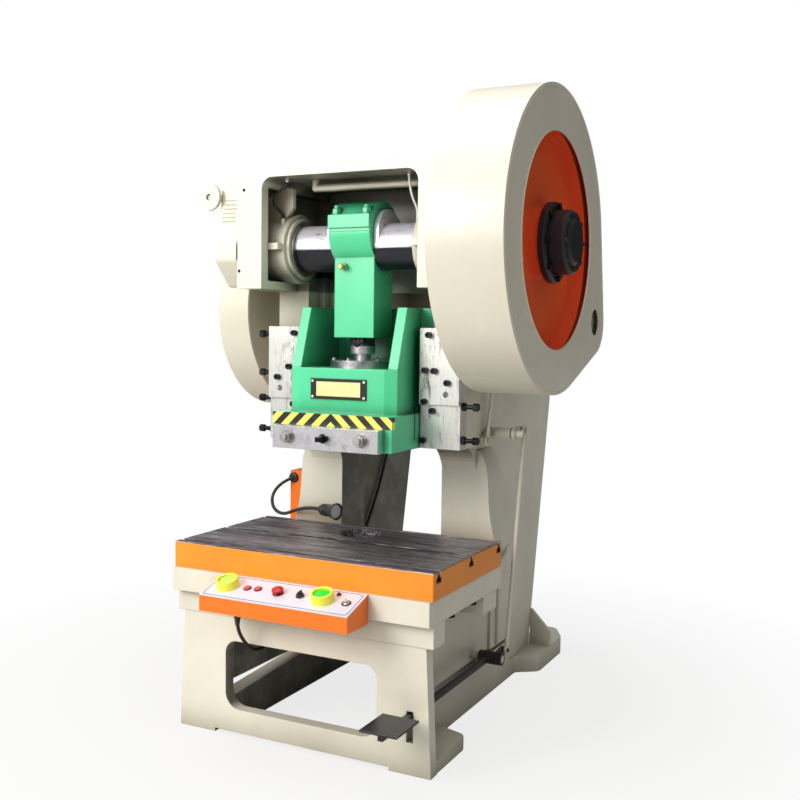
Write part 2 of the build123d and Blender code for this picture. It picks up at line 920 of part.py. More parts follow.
    # oil stubs on the two bearing bosses
    stub_y = die_y - oil_stub_ahead
    left_stub_z = (crank_height + oil_stub_top - oil_stub_height, crank_height + oil_stub_top)
    disc_z(oil_stub_radius, -left_stub_x, stub_y, left_stub_z)
    right_stub_z = (crank_height + right_stub_top - oil_stub_height, crank_height + right_stub_top)
    disc_z(right_stub_radius, right_stub_x, stub_y, right_stub_z)
    # ways for the slide rails
    way_front = guide_front - way_front_gap
    way_z = (slide_way_bottom, guide_top + 1)
    block((-gib_inner, gib_inner), (way_front, slide_back + way_back_gap), way_z, Mode.SUBTRACT)
    block((-rail_outer_x, rail_outer_x), (way_front, rail_back), way_z, Mode.SUBTRACT)
    # holes for the table bolts
    for x in (-bolt_x, bolt_x):
        for y in bolt_ys:
            disc_z(bolster_bolt_radius + face_gap, x, y, (bed_bottom - 1, bed_top + 1), Mode.SUBTRACT)
    # stub pins that carry the clutch latch and the pedal
    disc_x(latch_pin_radius, (head_half - 1, latch_pin_end), latch_y, latch_z)
    disc_x(pedal_pin_radius, (web_outer - 1, pedal_pin_end), pedal_y, pedal_z)
    # glands of the two cables
    cable_end = control_cable_points[-1]
    disc_z(gland_radius, cable_end[0], cable_end[1], (bed_bottom - gland_length, bed_bottom))
    reaches = (throat_gland_length, -throat_gland_length)
    for (x, y, z), reach in zip((throat_cable_points[0], throat_cable_points[-1]), reaches):
        gland_x = (-side_inner, -side_inner + 2 * gland_radius)
        block(gland_x, (y - gland_radius, y + gland_radius), sorted((z, z + reach)))
    # bores for the crank and the countershaft
    disc_x(bush_radius, (-head_half - 30, head_half + 30), die_y, crank_height, Mode.SUBTRACT)
    disc_x(shaft_bush_radius, (-shaft_boss_x - 10, shaft_boss_x + 10), shaft_y, shaft_z, Mode.SUBTRACT)
c_frame.part.label = "c_frame"
export_step(c_frame.part, "parts/c_frame.step")


# Base: front plate with its window, side rails and four feet
with BuildPart() as base_frame:
    block((0, base_half), (base_front, base_front + base_beam_depth), (beam_bottom, bed_bottom))
    leg_points = [(0, 0), (leg_half_foot, 0), (leg_half_top, beam_bottom), (0, beam_bottom)]
    extrude(polygon_face(front_plane(plate_front), leg_points), amount=-plate_thickness)
    with BuildSketch(front_plane(plate_front)):
        with BuildLine():
            FilletPolyline(
                (0, base_window_bottom), (base_window_half, base_window_bottom),
                (base_window_half, base_window_top), (0, base_window_top),
                radius=base_window_corners,
            )
            Line((0, base_window_top), (0, base_window_bottom))
        make_face()
    extrude(amount=-plate_thickness, mode=Mode.SUBTRACT)
    block((0, leg_half_foot - sill_inset), (plate_front, plate_back), (0, sill_lift), Mode.SUBTRACT)
    rail_points = [
        (plate_back - 1, 0), (foot_rail_end, 0), (foot_rail_end, rail_top_back),
        (column_front + base_rail_level, rail_top_back), (plate_back - 1, rail_top_front),
    ]
    extrude(polygon_face(side_plane(rail_inner), rail_points), amount=rail_outer - rail_inner)
    with BuildSketch(Plane.XY):
        with BuildLine():
            FilletPolyline(
                (rail_outer - 1, plate_back - 1), (foot_outer, plate_back - 1),
                (foot_outer, plate_back + front_foot_length),
                (rail_outer - 1, plate_back + front_foot_length + front_foot_toe),
                radius=[sharp_radius, front_foot_corner],
            )
            Line(
                (rail_outer - 1, plate_back + front_foot_length + front_foot_toe),
                (rail_outer - 1, plate_back - 1),
            )
        make_face()
    extrude(amount=front_foot_height)
    with BuildSketch(Plane.XY):
        with BuildLine():
            FilletPolyline(
                (rail_inner, foot_rail_end), (rail_outer, foot_rail_end),
                (rail_outer, foot_rail_end + rear_foot_step),
                (rear_foot_outer, foot_rail_end + rear_foot_step + rear_foot_slope),
                (rear_foot_outer, frame_back + rear_foot_side),
                (rail_outer + rear_foot_toe, frame_back + rear_foot_end),
                (rail_inner, frame_back + rear_foot_end),
                radius=[sharp_radius] + rear_foot_corners,
            )
            Line((rail_inner, frame_back + rear_foot_end), (rail_inner, foot_rail_end))
        make_face()
    extrude(amount=rear_foot_height)
    foot_gusset_points = [
        (side_outer, rear_foot_height - 1), (rear_foot_outer, rear_foot_height - 1),
        (rear_foot_outer, rear_foot_height + foot_gusset_low),
        (side_outer + foot_gusset_tip, rear_foot_height + foot_gusset_height),
        (side_outer, rear_foot_height + foot_gusset_height),
    ]
    foot_gusset_face = polygon_face(front_plane(frame_back + foot_gusset_setback), foot_gusset_points)
    extrude(foot_gusset_face, amount=-foot_gusset_thickness)
    mirror(about=Plane.YZ)
    pedal_slot_x = (pedal_bar_x - pedal_slot_gap, pedal_bar_x + pedal_bar_width + pedal_slot_gap)
    pedal_slot_z = (pedal_z - pedal_slot_drop, pedal_z + pedal_slot_rise)
    block(pedal_slot_x, (plate_front - 1, plate_back + 1), pedal_slot_z, Mode.SUBTRACT)
    for x in (-anchor_x, anchor_x):
        for y in (-anchor_y, anchor_y):
            disc_z(anchor_radius, x, y, (-1, rear_foot_height + 1), Mode.SUBTRACT)
base_frame.part.label = "base_frame"
export_step(base_frame.part, "parts/base_frame.step")

# Bolster: the thick table plate with tee slots and a drop hole
with BuildPart() as bolster:
    block((-table_width / 2, table_width / 2), (table_front, table_back), (bed_top, table_height))
    chamfer(bolster.edges().filter_by(Axis.Z), length=3)
    chamfer(bolster.faces().sort_by(Axis.Z)[-1].edges(), length=2)
    for slot_y in slot_ys:
        neck_y = (slot_y - slot_width / 2, slot_y + slot_width / 2)
        head_y = (slot_y - slot_head_width / 2, slot_y + slot_head_width / 2)
        slot_x = (-table_width / 2 - 1, table_width / 2 + 1)
        block(slot_x, neck_y, (table_height - slot_neck - 1, table_height + 1), Mode.SUBTRACT)
        head_z = (table_height - slot_neck - slot_head_height, table_height - slot_neck)
        block(slot_x, head_y, head_z, Mode.SUBTRACT)
    disc_z(drop_radius, 0, die_y, (bed_top - 1, table_height + 1), Mode.SUBTRACT)
    for x in (-bolt_x, bolt_x):
        for y in bolt_ys:
            hole_z = (bed_top - 1, bed_top + thread_depth + 1)
            disc_z(bolster_bolt_radius + face_gap, x, y, hole_z, Mode.SUBTRACT)
bolster.part.label = "bolster"
export_step(bolster.part, "parts/bolster.step")

with BuildPart() as bolster_bolts:
    for x in (-bolt_x, bolt_x):
        for y in bolt_ys:
            hex_prism(Plane((x, y, bed_bottom - bolster_bolt_head)), bolster_bolt_across, bolster_bolt_head)
            disc_z(bolster_bolt_radius, x, y, (bed_bottom - 1, bed_top + thread_depth))
bolster_bolts.part.label = "bolster_bolts"
export_step(bolster_bolts.part, "parts/bolster_bolts.step")

# Gibs: the two machined blocks that hold the slide in its ways


def gib_face(z):
    """Y of the gib's front face at a height: the upper part stands proud."""
    return gib_front - gib_step if z > gib_step_z else gib_front


def make_gib(side):
    """One gib, with the holes for its face screws and side adjusters."""
    with BuildPart() as gib:
        x_span = sorted((side * gib_inner, side * guide_half))
        block(x_span, (gib_front, guide_front), (slide_bottom, gib_top))
        block(x_span, (gib_front - gib_step, gib_front), (gib_step_z, gib_top))
        peep_y = (gib_front - gib_step - 1, gib_front + peep_depth)
        peep_x = side * (gib_inner + peep_place[0])
        disc_y(peep_radius, peep_x, peep_y, slide_bottom + peep_place[1], Mode.SUBTRACT)
        for x, z in screw_places:
            face = gib_face(z)
            disc_y(screw_radius + face_gap, side * x, (face - 1, face + screw_depth + 1), z, Mode.SUBTRACT)
        for z in adjuster_heights:
            hole = sorted((side * (guide_half - adjuster_depth - 1), side * (guide_half + 1)))
            disc_x(adjuster_radius + face_gap, hole, adjuster_y, z, Mode.SUBTRACT)
    return gib


gib_left = make_gib(-1)
gib_left.part.label = "gib_left"
export_step(gib_left.part, "parts/gib_left.step")
gib_right = make_gib(1)
gib_right.part.label = "gib_right"
export_step(gib_right.part, "parts/gib_right.step")

with BuildPart() as gib_screws:
    for side in (-1, 1):
        for x, z in screw_places:
            face = gib_face(z)
            disc_y(screw_head_radius, side * x, (face - screw_head_length, face), z)
            disc_y(screw_radius, side * x, (face - 1, face + screw_depth), z)
            with BuildSketch(Plane((side * x, face - screw_head_length, z), z_dir=(0, -1, 0))):
                RegularPolygon(screw_socket, 6)
            extrude(amount=-screw_socket_depth, mode=Mode.SUBTRACT)
gib_screws.part.label = "gib_screws"
export_step(gib_screws.part, "parts/gib_screws.step")

with BuildPart() as gib_adjusters:
    for side in (-1, 1):
        for z in adjuster_heights:
            inner = sorted((side * (guide_half - adjuster_depth), side * (guide_half + adjuster_end)))
            disc_x(adjuster_radius, inner, adjuster_y, z)
            nut = (0, adjuster_nut_across, adjuster_nut_height)
            head = (adjuster_head_start, adjuster_head_across, adjuster_head_height)
            for start, across, length in (nut, head):
                seat = Plane((side * (guide_half + start), adjuster_y, z), z_dir=(side, 0, 0))
                hex_prism(seat, across, length)
gib_adjusters.part.label = "gib_adjusters"
export_step(gib_adjusters.part, "parts/gib_adjusters.step")

# Slide: the ram, with rails, ears, ball socket and knock-out slot
with BuildPart() as slide:
    block((-slide_half, slide_half), (slide_front, slide_back), (slide_bottom, slide_ledge))
    bevel_y = block_front + bevel_depth
    block_points = [
        (-block_half, bevel_y), (-block_face_half, block_front), (block_face_half, block_front),
        (block_half, bevel_y), (block_half, slide_back), (-block_half, slide_back),
    ]
    extrude(polygon_face(Plane.XY.offset(slide_ledge), block_points), amount=block_top - slide_ledge)
    ear_points = [
        (bevel_y, block_top), (die_y - ear_reach, ear_top), (slide_back, ear_top), (slide_back, block_top),
    ]
    for side in (-1, 1):
        start = block_half - ear_thickness if side > 0 else -block_half
        extrude(polygon_face(side_plane(start), ear_points), amount=ear_thickness)
        rail_x = sorted((side * (block_half - 1), side * (rail_outer_x - face_gap)))
        rail_y = (guide_front + face_gap, rail_back - face_gap)
        block(rail_x, rail_y, (slide_bottom, ear_top))
    block((-block_half, block_half), (slide_back - back_plate, slide_back), (block_top, ear_top))
    pocket = ball_pocket_half
    pocket_y = (die_y - pocket, die_y + pocket + crank_throw)
    block((-pocket, pocket), pocket_y, (socket_floor, block_top + 1), Mode.SUBTRACT)
    clamp_x = clamp_half + face_gap
    clamp_z = (slide_bottom - 1, slide_bottom + clamp_height + face_gap)
    block((-clamp_x, clamp_x), (slide_front - 1, die_y), clamp_z, Mode.SUBTRACT)
    disc_z(shank_radius, 0, die_y, (slide_bottom - 1, slide_bottom + shank_depth), Mode.SUBTRACT)
    disc_z(ejector_radius + 1, 0, die_y, (slide_bottom + shank_depth - 1, slot_bottom + 1), Mode.SUBTRACT)
    bar_slot_y = (die_y - bar_width / 2 - 1, die_y + bar_width / 2 + 1)
    block((-slide_half - 1, slide_half + 1), bar_slot_y, (slot_bottom, slot_top), Mode.SUBTRACT)
    for x in (-stud_x, stud_x):
        disc_y(stud_radius + face_gap, x, (die_y - 1, die_y + stud_depth + 1), stud_z, Mode.SUBTRACT)
    # relief grooves down the outer sides
    for side in (-1, 1):
        relief_x = sorted((side * (slide_half - relief_depth), side * (slide_half + 1)))
        relief_y = (gib_front - relief_ahead, gib_front - relief_ahead + relief_width)
        block(relief_x, relief_y, (slide_bottom + relief_rise, slide_ledge + 1), Mode.SUBTRACT)
slide.part.label = "slide"
export_step(slide.part, "parts/slide.step")

# Die clamp: the front half of the shank hole, drawn up by two studs
with BuildPart() as die_clamp:
    block((-clamp_half, clamp_half), (clamp_front, clamp_back), (slide_bottom, slide_bottom + clamp_height))
    disc_z(shank_radius, 0, die_y, (slide_bottom - 1, slide_bottom + shank_depth), Mode.SUBTRACT)
    disc_z(ejector_radius + 1, 0, die_y, (slide_bottom, slide_bottom + clamp_height + 1), Mode.SUBTRACT)
    for x in (-stud_x, stud_x):
        disc_y(stud_radius + face_gap, x, (clamp_front - 1, clamp_back + 1), stud_z, Mode.SUBTRACT)
    set_screw_y = (clamp_front - 1, die_y - shank_radius - set_screw_web)
    disc_y(set_screw_radius + face_gap, 0, set_screw_y, stud_z, Mode.SUBTRACT)
die_clamp.part.label = "die_clamp"
export_step(die_clamp.part, "parts/die_clamp.step")

with BuildPart() as clamp_screws:
    for x in (-stud_x, stud_x):
        washer_front = clamp_front - washer_thickness
        disc_y(stud_radius, x, (clamp_front - stud_end, die_y + stud_depth), stud_z)
        disc_y(washer_radius, x, (washer_front, clamp_front), stud_z)
        hex_prism(Plane((x, washer_front, stud_z), z_dir=(0, -1, 0)), stud_nut_across, stud_nut_height)
    screw_end = clamp_front - set_screw_end
    disc_y(set_screw_radius, 0, (screw_end, die_y - shank_radius - set_screw_web - set_screw_gap), stud_z)
    hex_prism(Plane((0, clamp_front, stud_z), z_dir=(0, -1, 0)), set_screw_across, set_screw_nut)
    half = set_screw_square / 2
    block((-half, half), (screw_end - set_screw_head, screw_end), (stud_z - half, stud_z + half))
clamp_screws.part.label = "clamp_screws"
export_step(clamp_screws.part, "parts/clamp_screws.step")

# Rating plate: a framed blank plate held by four small screws
plate_low = slide_ledge + plate_rise
plate_high = plate_low + plate_height
with BuildPart() as nameplate:
    plate_left = plate_x - plate_half
    plate_right = plate_x + plate_half
    plate_face = block_front - plate_sheet
    block((plate_left, plate_right), (plate_face, block_front), (plate_low, plate_high))
    field_x = (plate_left + plate_border, plate_right - plate_border)
    block(field_x, (plate_face - 1, plate_face), (plate_low + plate_edge, plate_high - plate_edge))
    for x in (plate_left + plate_screw_inset, plate_right - plate_screw_inset):
        for z in (plate_low + plate_screw_inset, plate_high - plate_screw_inset):
            disc_y(plate_screw_radius, x, (plate_face - 3, plate_face + 1), z)
nameplate.part.label = "nameplate"
export_step(nameplate.part, "parts/nameplate.step")

# Cap ring over the ball socket, with a long hole for the sway of the screw
with BuildPart() as ball_cap:
    disc_z(cap_radius, 0, die_y, (block_top, block_top + cap_height))
    with BuildSketch(Plane.XY.offset(block_top)):
        for y in (die_y, die_y + crank_throw + open_gap):
            with Locations((0, y)):
                Circle(screw_core + screw_sway)
        make_hull()
    extrude(amount=cap_height, mode=Mode.SUBTRACT)
    cap_bolt_circle = cap_radius - cap_bolt_inset
    cap_bolt_z = (block_top + cap_height, block_top + cap_height + cap_bolt_radius)
    for number in range(cap_bolt_count):
        angle = 2 * math.pi * (number + 0.5) / cap_bolt_count
        bolt_y = die_y + cap_bolt_circle * math.sin(angle)
        disc_z(cap_bolt_radius, cap_bolt_circle * math.cos(angle), bolt_y, cap_bolt_z)
ball_cap.part.label = "ball_cap"
export_step(ball_cap.part, "parts/ball_cap.step")

with BuildPart() as knockout_bar:
    bar_y = (die_y - bar_width / 2, die_y + bar_width / 2)
    bar_bottom = slot_bottom + face_gap
    block((1 - slide_half, slide_half - 1), bar_y, (bar_bottom, bar_bottom + bar_height))
    disc_z(ejector_radius, 0, die_y, (slide_bottom + shank_depth + face_gap, slot_bottom + open_gap))
    chamfer(knockout_bar.edges().filter_by(Axis.Y), length=bar_chamfer)
knockout_bar.part.label = "knockout_bar"
export_step(knockout_bar.part, "parts/knockout_bar.step")


def axis_plane(y, z):
    """Plane through a cross shaft: its X runs along the shaft, its Y is the radius."""
    return Plane(origin=(0, y, z), x_dir=(1, 0, 0), z_dir=(0, -1, 0))


def turned(y, z, points):
    """Solid of revolution about a cross shaft, from (x, radius) points."""
    with BuildSketch(axis_plane(y, z)) as outline:
        Polygon(*points, align=None)
    revolve(outline.sketch, axis=Axis((0, y, z), (1, 0, 0)))


def ring_of_discs(radius, circle_radius, count, x_span, y, z, phase=0.0, mode=Mode.ADD):
    """Equal discs along X, spaced round a cross shaft."""
    for number in range(count):
        angle = phase + 2 * math.pi * number / count
        disc_x(radius, x_span, y + circle_radius * math.cos(angle), z + circle_radius * math.sin(angle), mode)


# Bushes of the crank and the countershaft
with BuildPart() as bearing_bushes:
    for side in (-1, 1):
        crank_span = sorted((side * (boss_face - bush_reach), side * boss_outer_x))
        disc_x(bush_radius - bush_gap, crank_span, die_y, crank_height)
        disc_x(journal_radius + running_gap, crank_span, die_y, crank_height, Mode.SUBTRACT)
        shaft_span = sorted((side * (side_inner - shaft_boss_inset), side * shaft_boss_x))
        disc_x(shaft_bush_radius - bush_gap, shaft_span, shaft_y, shaft_z)
        disc_x(shaft_radius + running_gap, shaft_span, shaft_y, shaft_z, Mode.SUBTRACT)
bearing_bushes.part.label = "bearing_bushes"
export_step(bearing_bushes.part, "parts/bearing_bushes.step")

# Crankshaft: journals, two cheeks and the offset pin
cheek_inner = rod_width / 2 + open_gap
cheek_outer = cheek_inner + cheek_thickness
with BuildPart() as crankshaft:
    for start in (-cheek_outer, cheek_inner):
        circles = [(die_y, crank_height, journal_radius), (die_y, pin_height, journal_radius)]
        extrude(circle_hull(side_plane(start), circles), amount=cheek_thickness)
    disc_x(pin_radius, (-cheek_inner, cheek_inner), die_y, pin_height)
    for side in (-1, 1):
        journal_x = sorted((side * cheek_outer, side * (boss_outer_x + open_gap)))
        disc_x(journal_radius, journal_x, die_y, crank_height)
    disc_x(crank_end_radius, (drum_outer_x - 6, -boss_outer_x), die_y, crank_height)
    disc_x(crank_end_radius, (boss_outer_x, clutch_end_x + open_gap), die_y, crank_height)
crankshaft.part.label = "crankshaft"
export_step(crankshaft.part, "parts/crankshaft.step")

with BuildPart() as brake_drum:
    drum_points = [
        (drum_outer_x, crank_end_radius + bush_gap), (drum_inner_x, crank_end_radius + bush_gap),
        (drum_inner_x, drum_radius), (drum_outer_x, drum_radius), (drum_outer_x, drum_radius - drum_rim),
        (drum_outer_x + drum_recess, drum_radius - drum_rim),
        (drum_outer_x + drum_recess, crank_end_radius + drum_hub),
        (drum_outer_x, crank_end_radius + drum_hub),
    ]
    turned(die_y, crank_height, drum_points)
brake_drum.part.label = "brake_drum"
export_step(brake_drum.part, "parts/brake_drum.step")

with BuildPart() as crank_end_cap:
    cap_points = [
        (clutch_end_x + open_gap, 0), (end_cap_x, 0), (end_cap_x, end_cap_radius - 40),
        (end_cap_x - 8, end_cap_radius - 30), (end_cap_x - 8, end_cap_radius - 8),
        (end_cap_x - 16, end_cap_radius), (clutch_end_x + open_gap, end_cap_radius),
    ]
    turned(die_y, crank_height, cap_points)
    ring_of_discs(8, end_cap_radius - 17, 8, (end_cap_x - 9, end_cap_x - 2), die_y, crank_height)
crank_end_cap.part.label = "crank_end_cap"
export_step(crank_end_cap.part, "parts/crank_end_cap.step")


def toothed_outline(plane, y, z, radius, teeth, first_tooth):
    """Outline of a spur gear: straight-flanked teeth with room to run."""
    points = []
    pitch = 2 * math.pi / teeth
    for number in range(teeth):
        centre = first_tooth + number * pitch
        for share, reach in ((-root_share, -tooth_dedendum), (-tip_share, tooth_addendum),
                             (tip_share, tooth_addendum), (root_share, -tooth_dedendum)):
            angle = centre + share * pitch
            points.append((y + (radius + reach) * math.cos(angle), z + (radius + reach) * math.sin(angle)))
    return polygon_face(plane, points)


# Gear: toothed rim, web, hub and ribs, loose on the crank until the clutch locks it
with BuildPart() as main_gear:
    gear_outline = toothed_outline(
        side_plane(gear_near_x), die_y, crank_height, gear_radius, gear_teeth, math.radians(-mesh_angle)
    )
    extrude(gear_outline, amount=gear_face)
    disc_x(rim_inner_radius, (gear_near_x - 1, gear_far_x + 1), die_y, crank_height, Mode.SUBTRACT)
    disc_x(rim_inner_radius + 1, (gear_web_x, gear_web_x + gear_web_thickness), die_y, crank_height)
    disc_x(hub_radius, (hub_near_x, hub_far_x), die_y, crank_height)
    for number in range(gear_ribs):
        angle = number * 360 / gear_ribs + 30
        with BuildSketch(side_plane(gear_near_x + gear_rib_inset)) as rib_outline:
            with Locations(Location((die_y, crank_height), angle)):
                with Locations(((rim_inner_radius + hub_radius) / 2, 0)):
                    Rectangle(rim_inner_radius - hub_radius + 10, gear_rib_width)
        extrude(rib_outline.sketch, amount=gear_web_x - gear_near_x)
    hub_bore = (hub_near_x - 1, hub_far_x + 1)
    disc_x(crank_end_radius + running_gap, hub_bore, die_y, crank_height, Mode.SUBTRACT)
main_gear.part.label = "main_gear"
export_step(main_gear.part, "parts/main_gear.step")

with BuildPart() as clutch_flange:
    flange_points = [
        (hub_far_x, crank_end_radius + face_gap), (clutch_end_x, crank_end_radius + face_gap),
        (clutch_end_x, clutch_radius - 12), (clutch_end_x - 6, clutch_radius), (hub_far_x, clutch_radius),
    ]
    turned(die_y, crank_height, flange_points)
    bolt_span = (hub_far_x - 1, clutch_end_x + 1)
    hole_radius = clutch_bolt_radius + face_gap
    ring_of_discs(
        hole_radius, clutch_bolt_circle, clutch_bolt_count, bolt_span, die_y, crank_height, mode=Mode.SUBTRACT
    )
clutch_flange.part.label = "clutch_flange"
export_step(clutch_flange.part, "parts/clutch_flange.step")

with BuildPart() as clutch_bolts:
    for radius, span in (
        (clutch_bolt_radius, (hub_far_x + 1, clutch_end_x + 1)),
        (clutch_bolt_head, (clutch_end_x, clutch_end_x + 9)),
    ):
        ring_of_discs(radius, clutch_bolt_circle, clutch_bolt_count, span, die_y, crank_height)
clutch_bolts.part.label = "clutch_bolts"
export_step(clutch_bolts.part, "parts/clutch_bolts.step")

# Countershaft with its pinion and the flywheel
with BuildPart() as countershaft:
    disc_x(shaft_radius, (flywheel_far_x - 10, gear_far_x + 12), shaft_y, shaft_z)
    for side in (-1, 1):
        collar = sorted((side * (shaft_boss_x + open_gap), side * (shaft_boss_x + open_gap + shaft_collar)))
        disc_x(shaft_radius + 14, collar, shaft_y, shaft_z)
countershaft.part.label = "countershaft"
export_step(countershaft.part, "parts/countershaft.step")

with BuildPart() as pinion:
    first = math.radians(180 - mesh_angle) + math.pi / pinion_teeth
    pinion_outline = toothed_outline(
        side_plane(gear_near_x), shaft_y, shaft_z, pinion_radius, pinion_teeth, first
    )
    extrude(pinion_outline, amount=gear_face)
    disc_x(pinion_radius - tooth_dedendum - 6, (gear_near_x - 14, gear_near_x), shaft_y, shaft_z)
    disc_x(shaft_radius + bush_gap, (gear_near_x - 15, gear_far_x + 1), shaft_y, shaft_z, Mode.SUBTRACT)
pinion.part.label = "pinion"
export_step(pinion.part, "parts/pinion.step")


def grooved_points(near_x, far_x, radius, bore):
    """Half section of a belt wheel: V grooves cut in its rim, as (x, radius) points."""
    points = [(far_x, bore), (far_x, radius)]
    middle = (near_x + far_x) / 2
    for number in range(belt_count):
        groove_x = middle + (number - (belt_count - 1) / 2) * belt_pitch
        top = belt_width / 2 + groove_gap
        points += [
            (groove_x - top, radius), (groove_x - top * groove_taper, radius - groove_depth),
            (groove_x + top * groove_taper, radius - groove_depth), (groove_x + top, radius),
        ]
    return points + [(near_x, radius), (near_x, bore)]


with BuildPart() as flywheel:
    bore = shaft_radius + bush_gap
    rim_bore = flywheel_radius - flywheel_rim
    turned(shaft_y, shaft_z, grooved_points(flywheel_near_x, flywheel_far_x, flywheel_radius, rim_bore))
    web_span = (flywheel_x - flywheel_web / 2, flywheel_x + flywheel_web / 2)
    disc_x(rim_bore + 1, web_span, shaft_y, shaft_z)
    disc_x(flywheel_hub_radius, (flywheel_far_x - 2, flywheel_near_x + 2), shaft_y, shaft_z)
    disc_x(bore, (flywheel_far_x - 3, flywheel_near_x + 3), shaft_y, shaft_z, Mode.SUBTRACT)
    hole_circle = (rim_bore + flywheel_hub_radius) / 2
    ring_of_discs(
        flywheel_hole_radius, hole_circle, flywheel_holes, web_span, shaft_y, shaft_z, mode=Mode.SUBTRACT
    )
flywheel.part.label = "flywheel"
export_step(flywheel.part, "parts/flywheel.step")

# Motor, its plate, pulley and belts
with BuildPart() as motor:
    barrel = motor_radius - motor_barrel
    disc_x(barrel, (motor_left, motor_right), motor_y, motor_z)
    disc_x(motor_radius, (motor_left + 6, motor_left + motor_flange), motor_y, motor_z)
    disc_x(motor_radius, (motor_right - motor_cowl, motor_right), motor_y, motor_z)
    for number in range(motor_fins):
        angle = number * 360 / motor_fins
        with BuildSketch(side_plane(motor_left + motor_flange)) as fin:
            with Locations(Location((motor_y, motor_z), angle)):
                with Locations((barrel, 0)):
                    Rectangle(2 * motor_barrel, motor_fin_thickness)
        extrude(fin.sketch, amount=motor_length - motor_flange - motor_cowl)
    foot_z = (deck_z + motor_plate_height, motor_z - motor_radius + motor_foot_top)
    for x in (motor_left + motor_foot_x[0], motor_right - motor_foot_x[1]):
        foot_x = (x - motor_foot_half[0], x + motor_foot_half[0])
        block(foot_x, (motor_y - motor_foot_half[1], motor_y + motor_foot_half[1]), foot_z)
    box_x = (motor_left + terminal_x[0], motor_left + terminal_x[1])
    box_z = (motor_z + motor_radius - motor_foot_top, motor_z + motor_radius + terminal_rise)
    block(box_x, (motor_y - terminal_half, motor_y + terminal_half), box_z)
    shaft_hole = (motor_left - 1, motor_left + 60)
    disc_x(motor_shaft_radius + running_gap, shaft_hole, motor_y, motor_z, Mode.SUBTRACT)
motor.part.label = "motor"
export_step(motor.part, "parts/motor.step")

with BuildPart() as motor_plate:
    bed_x = (motor_left + motor_plate_x[0], motor_right - motor_plate_x[1])
    bed_y = (motor_y - motor_plate_y[0], motor_y + motor_plate_y[1])
    block(bed_x, bed_y, (deck_z, deck_z + motor_plate_height))
motor_plate.part.label = "motor_plate"
export_step(motor_plate.part, "parts/motor_plate.step")

with BuildPart() as motor_pulley:
    pulley_span = (flywheel_near_x - pulley_margin, flywheel_far_x + pulley_margin)
    turned(motor_y, motor_z, grooved_points(*pulley_span, pulley_radius, 0))
    disc_x(motor_shaft_radius, (flywheel_near_x - 6, motor_left + 50), motor_y, motor_z)
motor_pulley.part.label = "motor_pulley"
export_step(motor_pulley.part, "parts/motor_pulley.step")

with BuildPart() as drive_belts:
    for number in range(belt_count):
        belt_x = flywheel_x + (number - (belt_count - 1) / 2) * belt_pitch - belt_section / 2
        outer = [
            (shaft_y, shaft_z, flywheel_radius + belt_proud),
            (motor_y, motor_z, pulley_radius + belt_proud),
        ]
        extrude(circle_hull(side_plane(belt_x), outer), amount=belt_section)
        inner = [(y, z, radius - belt_height) for y, z, radius in outer]
        extrude(circle_hull(side_plane(belt_x), inner), amount=belt_section, mode=Mode.SUBTRACT)
drive_belts.part.label = "drive_belts"
export_step(drive_belts.part, "parts/drive_belts.step")

# Pitman: the connecting rod, its cap, bolts and adjusting ball screw
rod_half = rod_width / 2
flange_y = (die_y - rod_flange_half, die_y + rod_flange_half)
cap_top = pin_height + cap_flange_high
rod_bolt_ys = (die_y - rod_bolt_y, die_y + rod_bolt_y)
with BuildPart() as pitman:
    disc_x(rod_big_radius, (-rod_half, rod_half), die_y, pin_height)
    shank_x = (-rod_shank_width / 2, rod_shank_width / 2)
    shank_y = (die_y - rod_shank_depth / 2, die_y + rod_shank_depth / 2)
    block(shank_x, shank_y, (rod_bottom, pin_height - rod_big_radius + rod_shank_overlap))
    above = (pin_height, pin_height + rod_big_radius + 1)
    block((-rod_half - 1, rod_half + 1), (flange_y[0] - 1, flange_y[1] + 1), above, Mode.SUBTRACT)
    disc_x(pin_radius + running_gap, (-rod_half - 1, rod_half + 1), die_y, pin_height, Mode.SUBTRACT)
    disc_z(screw_core + face_gap, 0, die_y, (rod_bottom - 1, screw_top + open_gap), Mode.SUBTRACT)
    for x in (-rod_bolt_x, rod_bolt_x):
        for y in rod_bolt_ys:
            bolt_z = (pin_height - rod_bolt_hold - 1, pin_height + 1)
            disc_z(rod_bolt_radius + face_gap, x, y, bolt_z, Mode.SUBTRACT)
pitman.part.label = "pitman"
export_step(pitman.part, "parts/pitman.step")

with BuildPart() as pitman_cap:
    disc_x(rod_big_radius, (-rod_half, rod_half), die_y, pin_height)
    block((-rod_half, rod_half), flange_y, (pin_height + cap_flange_low, cap_top))
    below = (pin_height - rod_big_radius - 1, pin_height)
    block((-rod_half - 1, rod_half + 1), (flange_y[0] - 1, flange_y[1] + 1), below, Mode.SUBTRACT)
    disc_x(pin_radius + running_gap, (-rod_half - 1, rod_half + 1), die_y, pin_height, Mode.SUBTRACT)
    for x in (-rod_bolt_x, rod_bolt_x):
        for y in rod_bolt_ys:
            disc_z(rod_bolt_radius + face_gap, x, y, (pin_height - 1, cap_top + 1), Mode.SUBTRACT)
            disc_z(spot_radius, x, y, (cap_top, pin_height + rod_big_radius), Mode.SUBTRACT)
pitman_cap.part.label = "pitman_cap"
export_step(pitman_cap.part, "parts/pitman_cap.step")

with BuildPart() as pitman_bolts:
    for x in (-rod_bolt_x, rod_bolt_x):
        for y in rod_bolt_ys:
            disc_z(rod_bolt_radius, x, y, (pin_height - rod_bolt_hold, cap_top + rod_bolt_end))
            hex_prism(Plane((x, y, cap_top)), rod_nut_across, rod_nut_height)
pitman_bolts.part.label = "pitman_bolts"
export_step(pitman_bolts.part, "parts/pitman_bolts.step")

